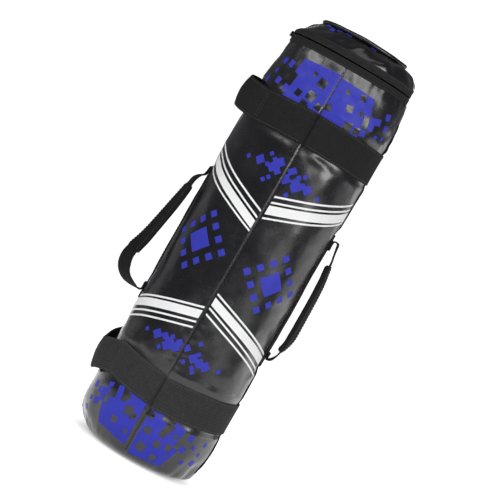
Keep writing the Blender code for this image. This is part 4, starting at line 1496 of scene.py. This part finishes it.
# Steps of the lid wall's line and surface, the ring its folds are measured on, how folds and dents drift from
# the piping to the zip, and how fast they fade at both
LID_PROFILE_STEPS = 40
LID_PITCH = 0.0018
LID_ROUND = 220
LID_UP = 22
LID_FOLD_RADIUS = 0.08
LID_FOLD_SHIFT = 0.006
LID_DENT_SHIFT = (0.03, -0.02)
LID_FOLD_POWER = 0.7

# The piping: points round the lid and round its bead, its ribs and their depth, the bead's share of the CAD
# radius and how far it sits below it
PIPING_ROUND = 504
PIPING_SECTION = 12
PIPING_RIBS = 126
PIPING_RIB_DEPTH = 0.07
PIPING_SHARE = 0.97
PIPING_DROP = 0.0004

# The top panel: its cloth, points each way, crown, the width of its flat edge, and its stitch row (in from
# its edge, and above it)
LID_PANEL_CLOTH = 0.0012
LID_PANEL_ROUND = 120
LID_PANEL_OUT = 24
LID_PANEL_CROWN = 0.0006
LID_PANEL_EDGE = 0.012
LID_PANEL_ROW = 0.004
LID_PANEL_ROW_LIFT = 0.0001
LID_PANEL_ROW_POINTS = 200

# A surface round the axis leaves a hole of this radius, or a flat of it, at the axis
AXIS_HOLE = 0.0006

# Blue squares on the lid: their middle, in degrees round, the shares of the wall at their top and foot, and
# their width, in degrees
LID_SQUARES = [
    (-52, 0.10, 0.30, 7), (-43, 0.16, 0.42, 6), (-33, 0.06, 0.24, 8), (-20, 0.05, 0.18, 9),
    (14, 0.04, 0.14, 7),
]
LID_SQUARE_POINTS = (6, 5)


def lid_profile():
    """The lid wall's bulged line as (radius, height), from its top to its foot."""
    foot = np.array([LID_FOOT_RADIUS, LID_FOOT])
    top = np.array([PIPING_OUTER - PIPING_RADIUS, LID_TOP])
    outward = np.array([top[1] - foot[1], foot[0] - top[0]])
    outward /= np.linalg.norm(outward)
    middle = (foot + top) / 2 + outward * LID_BULGE * 2
    share = np.linspace(0.0, 1.0, LID_PROFILE_STEPS)[:, None]
    return top * (1 - share) ** 2 + middle * 2 * share * (1 - share) + foot * share**2


LID_LINE = resampled(lid_profile(), LID_PITCH)
LID_OUT = -np.stack([np.gradient(LID_LINE[:, 1]), -np.gradient(LID_LINE[:, 0])], axis=1)
LID_OUT /= np.linalg.norm(LID_OUT, axis=1)[:, None]


def lid_lean(height):
    return from_table((height - UPPER_TAPE_FOOT) / (LID_TOP - UPPER_TAPE_FOOT), LID_LEAN)


def on_lid(azimuth, share, lift=0.0):
    """Points on the lid wall: share 0 is at the piping and 1 at the zip. Gathers run up the wall."""
    count = len(LID_LINE)
    at = np.asarray(share, float) * (count - 1)
    columns = (*LID_LINE.T, *LID_OUT.T)
    radius, height, out_r, out_z = (np.interp(at, np.arange(count), column) for column in columns)
    east, north = np.sin(azimuth) * LID_FOLD_RADIUS, -np.cos(azimuth) * LID_FOLD_RADIUS
    folds = lumps("lid_fold", east + LID_FOLD_SHIFT * share, north)
    shift_east, shift_north = LID_DENT_SHIFT
    dents = lumps("lid_dent", east + shift_east * share, north + shift_north * share)
    held = np.sin(math.pi * np.clip(share, 0.0, 1.0)) ** LID_FOLD_POWER
    out = (folds + dents) * held + lift
    return ring_points(azimuth, radius + out * out_r, height + out * out_z, lid_lean(height))


def build_lid():
    aa, ss = grid(full_turn(LID_ROUND), np.linspace(0.0, 1.0, LID_UP))
    wall = skin("lid_vinyl_wall", on_lid(aa, ss), on_lid(aa, ss, -SHELL_WALL), LID_VINYL, wrap=True)
    place(wall, "lid", "vinyl", ["lid_wall"])
    build_piping()
    build_lid_panel()
    build_lid_print()


def build_piping():
    """The bead round the top panel: a wrapped cord with fine ribs, a little uneven in height."""
    ring = PIPING_OUTER - PIPING_RADIUS
    aa, bb = grid(full_turn(PIPING_ROUND), full_turn(PIPING_SECTION))
    ribs = np.maximum(np.sin(aa * PIPING_RIBS), 0.0)
    thick = PIPING_RADIUS * PIPING_SHARE * (1.0 - PIPING_RIB_DEPTH * ribs)
    wander = lumps("piping", np.sin(aa) * ring, -np.cos(aa) * ring)
    height = (PIPING_FOOT + PIPING_TOP) / 2 - PIPING_DROP + wander + thick * np.sin(bb)
    points = ring_points(aa, ring + thick * np.cos(bb), height, LID_PIPING_LEAN)
    bead = tube("lid_piping_bead", points, LID_VINYL, closed=True)
    place(bead, "lid", "vinyl", ["lid_piping"])


def build_lid_panel():
    """The top panel, lifted a little by the foam under it, with soft folds."""
    edge = PIPING_OUTER - 2 * PIPING_RADIUS + SEAM_GAP
    aa, rr = grid(full_turn(LID_PANEL_ROUND), np.linspace(AXIS_HOLE, edge, LID_PANEL_OUT))
    folds = lumps("lid_panel", rr * np.sin(aa), -rr * np.cos(aa))
    lift = (folds + LID_PANEL_CROWN * (1 - (rr / edge) ** 2)) * smooth(edge - rr, 0.0, LID_PANEL_EDGE)
    top = ring_points(aa, rr, PANEL_TOP + lift, LID_PIPING_LEAN)
    foot = ring_points(aa, rr, PANEL_TOP + lift - LID_PANEL_CLOTH, LID_PIPING_LEAN)
    place(skin("lid_top_panel", top, foot, LID_VINYL, wrap=True), "lid", "vinyl", ["lid_panel"])
    azimuth = np.linspace(0.0, 2 * math.pi, LID_PANEL_ROW_POINTS)
    row = ring_points(azimuth, edge - LID_PANEL_ROW, PANEL_TOP + LID_PANEL_ROW_LIFT, LID_PIPING_LEAN)
    stitches("lid_panel_stitching", [row], "lid")


def build_lid_print():
    """Loose blue squares on the lid wall, near the front."""
    columns, rows = LID_SQUARE_POINTS
    for number, (middle, top, foot, wide) in enumerate(LID_SQUARES, 1):
        azimuth = np.radians(np.linspace(middle - wide / 2, middle + wide / 2, columns))
        aa, ss = grid(azimuth, np.linspace(top, foot, rows))
        outer = on_lid(aa, ss, PRINT_LIFT + PRINT_FILM)
        place(skin(f"lid_print_{number}", outer, on_lid(aa, ss, PRINT_LIFT), BLUE), "lid")


# Seams, base and inside

# Stitch rows beside a seam: their distance from it, foot height, distance from the zip, and lift
SEAM_ROW = 0.0008
SEAM_ROW_FOOT = 0.012
SEAM_ROW_TOP = 0.003
SEAM_ROW_LIFT = 0.0002
SEAM_ROW_POINTS = 400

# Filler bags: corner radius, crown (its drop, and at a share of the radius a share of it), how far inside
# the CAD solid they keep and shrink, the height below which a foot is the lowest bag's, and their steps
FILLER_CORNER = 0.024
FILLER_CROWN = 0.006
FILLER_CROWN_AT = (0.4, 0.3)
FILLER_INSIDE = 0.0006
FILLER_SHRINK = 0.0002
LOWEST_FOOT = 0.05
FILLER_PITCH = 0.004
FILLER_ROUND = 120

# Where a filler bag's slack starts, its pleats lie (the ring they are measured on, and a share of the bag's
# radius and a width), and the width of the edge round its flat weave
SLACK_STARTS = (0.003, 0.02)
PLEAT_RADIUS = 0.06
PLEAT_SHARE = 0.8
PLEAT_WIDTH = 0.02
FLAT_GRID = 0.016

# The closure flap's points, droop and clearance, and the pull loop's thickness and points
FLAP_POINTS = (24, 14)
FLAP_DROOP = 0.0014
FLAP_CLEAR = 0.0003
PULL_LOOP_THICKNESS = 0.0016
PULL_LOOP_POINTS = 41


def build_seam_stitching():
    t = np.linspace(t_at(SEAM_ROW_FOOT), MOUTH_T - SEAM_ROW_TOP, SEAM_ROW_POINTS)
    rows = [on_bag(on_face(SEAM_ROW, side, face), t, SEAM_ROW_LIFT) for face in FACES for side in SIDES]
    stitches("seam_stitching", rows, "bag", SEAM_STITCH)


def dress_frame():
    """Better materials on the CAD nodes whose plain shape is right."""
    finishes = {
        "base_panel": VINYL,
        "base_foam": FOAM,
        "foam_liner": FOAM,
        "lid_foam": FOAM,
        "front_seam_tape": THREAD,
        "back_seam_tape": THREAD,
    }
    for node, material in finishes.items():
        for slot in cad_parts[node].material_slots:
            slot.material = material


def filler_outline(low, high):
    """Half the outline of a soft filler bag as (radius, height), from its top middle to its foot middle."""
    radius = high.x - FILLER_INSIDE
    brim = high.z - FILLER_CROWN
    share, drop = FILLER_CROWN_AT
    line = [(AXIS_HOLE, high.z), (radius * share, high.z - FILLER_CROWN * drop)]
    for turn in np.radians((0.0, 30.0, 60.0, 90.0)):
        inwards, down = 1 - math.sin(turn), 1 - math.cos(turn)
        line.append((radius - FILLER_CORNER * inwards, brim - FILLER_CORNER * down))
    lowest = low.z < LOWEST_FOOT
    corner = BASE_CORNER_HEIGHT if lowest else FILLER_CORNER
    flat = BASE_RADIUS if lowest else radius - FILLER_CORNER
    for turn in np.radians((0.0, 30.0, 60.0, 90.0)):
        line.append((flat + (radius - flat) * math.cos(turn), low.z + corner * (1 - math.sin(turn))))
    return resampled(line + [(AXIS_HOLE, low.z)], FILLER_PITCH)


def build_fillers():
    for number, level in enumerate(("lower", "middle", "upper")):
        low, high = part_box(f"filler_bag_{level}")
        line = filler_outline(low, high)
        aa, rr = grid(full_turn(FILLER_ROUND), line[:, 0])
        hh = np.broadcast_to(line[:, 1], aa.shape)
        x, y = rr * np.sin(aa), -rr * np.cos(aa)
        slack = lumps("filler_slack", x + hh, y - hh, number) * smooth(rr, *SLACK_STARTS)
        pleat = lumps("filler_pleat", aa * PLEAT_RADIUS, rr, number)
        pleat = pleat * bell(rr - high.x * PLEAT_SHARE, PLEAT_WIDTH)
        inward = np.minimum(slack + pleat, 0.0) - FILLER_SHRINK
        rings = ring_points(aa, rr + inward, hh + inward * np.where(hh > (low.z + high.z) / 2, 1.0, -1.0))
        weave = np.where((rr < high.x - FLAT_GRID)[..., None], weave_at(x, y), weave_at(aa * high.x, hh))
        index = np.arange(aa.size).reshape(aa.shape)
        faces = quads(index, wrap=True) + [index[:, 0].tolist(), index[:, -1].tolist()]
        bag = make(f"filler_bag_cloth_{level}", rings, faces, FILLER, weave)
        place(bag, "bag", "filler_cloth", [f"filler_bag_{level}"])
        build_flap(level)
        build_pull_loop(level)


def build_flap(level):
    """A filler bag's closure flap, which follows its crown."""
    low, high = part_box(f"filler_closure_{level}")
    columns, rows = FLAP_POINTS
    xx, yy = grid(edge_steps((high.x - low.x) / 2, columns), np.linspace(low.y, high.y, rows))
    droop = FLAP_DROOP * (xx / high.x) ** 2
    outer = np.stack([xx, yy, high.z - droop], axis=-1)
    inner = np.stack([xx, yy, low.z - droop + FLAP_CLEAR], axis=-1)
    weave = weave_at(xx, yy - (low.y + high.y) / 2)
    flap = skin(f"filler_closure_flap_{level}", outer, inner, STRAP_WEB, weave)
    place(flap, "bag", "webbing", [f"filler_closure_{level}"])


def build_pull_loop(level):
    """A filler bag's pull loop, which stands up in a bow."""
    low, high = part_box(f"filler_loop_{level}")
    share = np.linspace(-1.0, 1.0, PULL_LOOP_POINTS)
    rise = high.z - low.z - PULL_LOOP_THICKNESS
    height = low.z + PULL_LOOP_THICKNESS / 2 + rise * (1 - share**2)
    line = np.stack([(high.x - low.x) / 2 * share, height], axis=1)
    across, out = rounded_section(high.y - low.y, PULL_LOOP_THICKNESS).T
    normal = offsets(line)
    xs = line[:, :1] - normal[:, :1] * out
    zs = line[:, 1:] - normal[:, 1:] * out
    points = np.stack(np.broadcast_arrays(xs, across + (low.y + high.y) / 2, zs), axis=-1)
    loop = tube(f"filler_pull_loop_{level}", points, STRAP_WEB, weave_at(lengths(line)[:, None], across))
    place(loop, "bag", "webbing", [f"filler_loop_{level}"])


# Stage

# How white the stage shows itself at places along Y, how that fades in the shade under the bag (between two
# distances from its axis, from one share to another), and the edges and the depth of the stage
STAGE_WHITE = [(0.5, 0.77), (4.2, 0.93)]
STAGE_SHADE = (0.060, 0.112, 0.30, 1.0)
STAGE_LEFT = [(0.0, -0.66), (5.0, -1.74)]
STAGE_RIGHT = 1.30
STAGE_BEND = 4.4
STAGE_FLOOR = (-1.3, 0.0, 1.5, 3.0, STAGE_BEND)
STAGE_CURVE = 0.6
STAGE_HEIGHT = 1.7
STAGE_CLOTH = (0.8, 0.8, 0.8, 1.0)
PLAIN_WHITE = (1.0, 1.0, 1.0, 1.0)
ROOM_GREY = (0.13, 0.13, 0.135, 1.0)

# Lights: azimuth, distance, height, width, depth, radiance and the height they aim at
LIGHTS = {
    "front_panel_left": (-62.0, 2.4, 1.49, 2.3, 0.46, 5.5, 0.45),
    "front_panel_middle": (-5.0, 2.4, 1.41, 2.4, 0.50, 4.4, 0.45),
    "front_panel_right": (40.0, 2.4, 1.33, 1.9, 0.64, 4.8, 0.45),
    "left_rim": (-110.0, 1.8, 0.17, 0.8, 0.36, 0.3, 0.45),
    "right_streak": (56.0, 2.0, 0.70, 0.84, 0.40, 8.2, 0.45),
    "right_mid_streak": (53.0, 2.0, 0.22, 0.65, 0.30, 1.0, 0.45),
    "right_patch": (30.0, 2.2, 0.74, 0.70, 0.36, 3.4, 0.45),
    "right_strip": (109.0, 1.6, 0.32, 0.95, 0.32, 1.1, 0.45),
    "right_low_strip": (109.0, 1.6, 0.08, 0.95, 0.16, 2.4, 0.45),
    "right_edge": (138.0, 1.6, 0.50, 0.60, 0.30, 1.3, 0.45),
    "overhead": (0.0, 1.2, 2.4, 1.4, 1.4, 1.1, 0.3),
    "front_fill": (0.0, 2.2, 0.20, 1.6, 0.8, 0.5, 0.2),
    "low_fill": (0.0, 1.0, 0.06, 0.9, 0.12, 5.0, 0.06),
    "left_fill": (-80.0, 2.0, 0.40, 1.2, 0.9, 1.6, 0.3),
    "right_fill": (85.0, 2.0, 0.40, 1.2, 0.9, 1.3, 0.3),
    "back_panel": (180.0, 2.4, 1.25, 1.6, 0.80, 3.6, 0.45),
    "back_fill_left": (-150.0, 2.2, 0.50, 1.2, 0.9, 2.4, 0.3),
    "back_fill_right": (150.0, 2.2, 0.50, 1.2, 0.9, 2.4, 0.3),
}
ONLY_REFLECTED = ("right_streak", "right_patch")
NOT_REFLECTED = (
    "front_fill", "low_fill", "left_fill", "right_fill", "back_panel", "back_fill_left", "back_fill_right",
)


def stage_white():
    """Matt white that also shows white by itself, so that the background is white and keeps the shadow."""
    stage = Finish("studio_white")
    stage.tree.nodes.remove(stage.shader)
    rays = stage.add("ShaderNodeLightPath").outputs
    seen = stage.math("MAXIMUM", rays["Is Camera Ray"], rays["Is Glossy Ray"])
    seen = stage.math("MAXIMUM", seen, rays["Is Transmission Ray"])
    spot = stage.add("ShaderNodeSeparateXYZ", {0: stage.coords}).outputs
    (front, low), (back, high) = STAGE_WHITE
    strength = stage.times(seen, stage.ranged(spot[1], front, back, low, high))
    flat = stage.add("ShaderNodeCombineXYZ", {0: spot[0], 1: spot[1]}).outputs[0]
    from_axis = stage.add("ShaderNodeVectorMath", {0: flat}, operation="LENGTH").outputs["Value"]
    strength = stage.times(strength, stage.ranged(from_axis, *STAGE_SHADE))
    white = stage.add("ShaderNodeEmission", {"Color": PLAIN_WHITE, "Strength": strength})
    cloth = stage.add("ShaderNodeBsdfDiffuse", {"Color": STAGE_CLOTH})
    both = stage.add("ShaderNodeAddShader", {0: cloth.outputs[0], 1: white.outputs[0]})
    stage.wire(stage.tree.nodes["Material Output"], {"Surface": both.outputs[0]})
    return stage.material


def build_sweep():
    """A white floor that curves up into a backdrop, well behind the bag."""
    line = [(y, 0.0) for y in STAGE_FLOOR]
    for angle in range(10, 91, 10):
        turn = math.radians(angle)
        line.append((STAGE_BEND + STAGE_CURVE * math.sin(turn), STAGE_CURVE * (1 - math.cos(turn))))
    line.append((STAGE_BEND + STAGE_CURVE, STAGE_HEIGHT))
    left = [(float(from_table(y, STAGE_LEFT)), y, z) for y, z in line]
    right = [(STAGE_RIGHT, y, z) for y, z in line]
    index = np.arange(2 * len(line)).reshape(2, len(line))
    mesh = bpy.data.meshes.new("studio_sweep")
    mesh.from_pydata(left + right, [], quads(index))
    sweep = add_object("studio_sweep", mesh, stage_white())


def build_lights():
    """Area lights of a given radiance, at azimuths round the bag, in a grey room."""
    for name, (azimuth, distance, height, width, depth, radiance, aim) in LIGHTS.items():
        turn = math.radians(azimuth)
        spot = Vector((distance * math.sin(turn), -distance * math.cos(turn), height))
        data = bpy.data.lights.new(name, "AREA")
        data.shape = "RECTANGLE"
        data.size = width
        data.size_y = depth
        data.energy = radiance * math.pi * width * depth
        light = bpy.data.objects.new(name, data)
        light.visible_camera = False
        light.visible_glossy = name not in NOT_REFLECTED
        light.visible_diffuse = name not in ONLY_REFLECTED
        light.location = spot
        light.rotation_euler = (Vector((0.0, 0.0, aim)) - spot).to_track_quat("-Z", "Y").to_euler()
        bpy.context.scene.collection.objects.link(light)
    world = bpy.data.worlds.new("studio_room")
    world.use_nodes = True
    world.node_tree.nodes["Background"].inputs["Color"].default_value = ROOM_GREY
    bpy.context.scene.world = world


def build_camera():
    azimuth, elevation = math.radians(CAMERA_AZIMUTH), math.radians(CAMERA_ELEVATION)
    back = Vector((math.sin(azimuth), -math.cos(azimuth), 0.0)) * math.cos(elevation)
    back.z = math.sin(elevation)
    turn = back.to_track_quat("Z", "Y").to_matrix()
    roll = Matrix.Rotation(math.radians(CAMERA_ROLL), 3, "Z")
    data = bpy.data.cameras.new("photo_camera")
    data.sensor_fit = "HORIZONTAL"
    data.lens = CAMERA_LENS
    data.shift_x = IMAGE_OFFSET[0] / IMAGE_WIDTH
    data.shift_y = IMAGE_OFFSET[1] / IMAGE_WIDTH
    camera = bpy.data.objects.new("photo_camera", data)
    camera.matrix_world = Matrix.Translation(CAMERA_TARGET + back * CAMERA_DISTANCE) @ (turn @ roll).to_4x4()
    bpy.context.scene.collection.objects.link(camera)
    bpy.context.scene.camera = camera


build_camera()
build_lights()
build_sweep()
build_panels()
build_stripes()
build_shade_strips()
build_blocks()
build_clusters()
build_motifs()
build_bands()
build_handles()
build_zip()
build_lid()
build_seam_stitching()
build_fillers()
dress_frame()

bpy.context.scene.view_settings.view_transform = "Standard"
